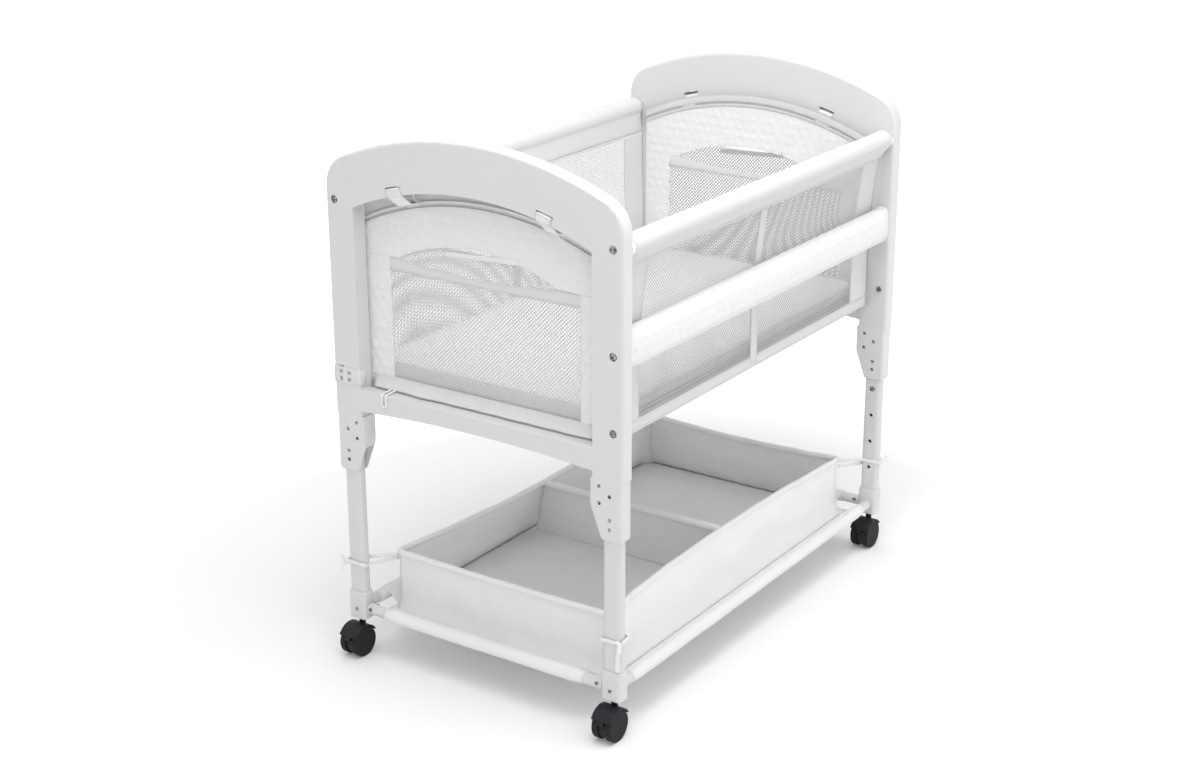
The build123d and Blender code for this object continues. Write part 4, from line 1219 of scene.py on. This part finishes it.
# Straps under the riveted plates on the rear posts
postStrap = {"width": 0.026, "thickness": 0.001, "y": (0.2665, 0.2185, 0.2155), "z": 0.481}


def makePostStraps():
    pieces = []
    for side, end in ends:
        post = side + "_rear_post"
        outer, depth = faceX(post, end) + end * 0.0006, 2 * room(post)[1].x
        (first, bend, last), z = postStrap["y"], postStrap["z"]
        route = [(outer, first, z), (outer, (first + bend) / 2, z), (outer, bend, z),
                 (outer - end * 0.003, last, z), (outer - end * depth * 0.45, last, z)]
        section = tapeSection(postStrap["width"], postStrap["thickness"])
        pieces.append(sweep("postStrap", smoothPath(route, 5), section))
    join("postStraps", pieces, "bassinet", "plate_white")


# Fasteners
bolt = {"radius": 0.006, "head": 0.0018, "socket": 0.0024, "depth": 0.0026, "rise": 0.003, "y": 0.252,
        "legZ": 0.49}
rivet = {"radius": 0.0027, "y": 0.244, "z": 0.481, "halfGap": (0.008, 0.006)}
screw = {"radius": 0.0031, "cross": 0.0017, "depth": 0.0009,
         "spots": ((0.2276, 0.4047), (0.2459, 0.392), (0.2276, 0.3787), (0.2459, 0.3551), (0.2459, 0.3402))}


def fastenerShape(name, rings, segments, recess):
    # rings of (radius, height) from the rim inwards; recess bends the rings of the drive
    verts = []
    for radius, height, driven in rings:
        for k in range(segments):
            turn = 2 * math.pi * k / segments
            reach = radius * (recess(turn) if driven else 1)
            verts.append((reach * math.cos(turn), reach * math.sin(turn), height))
    return newPiece(name, verts, ringFaces(len(rings), segments), closed=True)


def hexagon(turn):
    return 1 / math.cos((turn + math.pi / 6) % (math.pi / 3) - math.pi / 6)


def cross(turn):
    return 0.3 + 0.7 * abs(math.cos(2 * turn)) ** 3


def setFasteners(name, part, spots, body, slot, *nodes):
    mesh = bpy.data.meshes.new(name)
    mesh.from_pydata([tuple(place) for place, aim in spots], [], [])
    aims = mesh.attributes.new("aim", "FLOAT_VECTOR", "POINT")
    for index, (place, aim) in enumerate(spots):
        aims.data[index].vector = aim
    piece = addObject(name, mesh)
    runTree(piece, trees["fasten"], slot, part=part)
    return fit(piece, body, slot, *nodes)


def makeFasteners():
    r, h, s, d = bolt["radius"], bolt["head"], bolt["socket"], bolt["depth"]
    rings = [(r, -h, False), (r, -0.0004, False), (r * 0.96, 0.0, False), (r * 0.8, 0.0006, False),
             (r * 0.55, 0.001, False), (s * 1.12, 0.0011, True), (s, 0.0009, True), (s, 0.0009 - d, True)]
    head = fastenerShape("boltHead", rings, 24, hexagon)
    spots = []
    for side, end in ends:
        outer = faceX(side + "_arch", end) - end * 0.0006
        for rail in ("front_top", "front_middle", "rear_top"):
            middle = room(rail + "_rail")[0]
            spots.append((Vector((outer, middle.y, middle.z + bolt["rise"])), (end, 0, 0)))
        spots += [(Vector((outer, flank * bolt["y"], bolt["legZ"])), (end, 0, 0)) for flank in (-1, 1)]
    setFasteners("railBoltHeads", head, spots, "bassinet", "bolt_steel")
    r, s, d = screw["radius"], screw["cross"], screw["depth"]
    rings = [(r, -0.0008, False), (r * 0.97, -0.0002, False), (r * 0.8, 0.0002, False),
             (s * 1.2, 0.00035, True), (s, 0.0002, True), (s * 0.7, 0.0002 - d, True)]
    small = fastenerShape("screwHead", rings, 20, cross)
    spots = []
    for side, end in ends:
        for corner, flank in flanks:
            low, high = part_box(f"{side}_{corner}_bracket")
            for y, z in screw["spots"]:
                spots.append((Vector((high.x + 0.0001, flank * y, z)), (1, 0, 0)))
                spots.append((Vector((low.x - 0.0001, flank * y, z)), (-1, 0, 0)))
    setFasteners("bracketScrewHeads", small, spots, "bassinet", "bolt_steel")
    (plateLow, plateHigh), (wide, up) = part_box("strap_plates"), rivet["halfGap"]
    spots = [(Vector((x + end * 0.0002, rivet["y"] + across, rivet["z"] + rise)), (end, 0, 0))
             for x, end in ((plateLow.x, -1), (plateHigh.x, 1))
             for across in (-wide, wide) for rise in (-up, up)]
    r = rivet["radius"]
    dome = fastenerShape("rivetHead", [(r, -0.0009, False), (r, 0.0, False), (r * 0.75, 0.0004, False),
                                       (r * 0.3, 0.0006, False)], 16, hexagon)
    setFasteners("plateRivets", dome, spots, "bassinet", "bolt_steel")
    for part in (head, small, dome):
        bpy.data.objects.remove(part)


def dressFrame():
    for name, piece in frame["nodes"].items():
        dress(piece, nodeSlots[name])


addCamera()
addStudio()
addFloor()
dressFrame()
print("studio and frame dressed")
for side, end in ends:
    makeEndWall(side, end)
for side, flank in flanks:
    makeLongWall(side, flank)
    makeTopSleeve(side, flank)
makeMiddlePad()
print("liner walls made")
makeMattress()
makeLinerFloor()
makeTabs()
makePullLoop()
print("mattress, floor and tabs made")
makeFlaps(*makeBasket())
makeBaseSleeves()
makeDivider()
makeTies()
makePostStraps()
print("basket made")
makeFasteners()
print("fasteners set")

bpy.context.scene.view_settings.view_transform = "Standard"
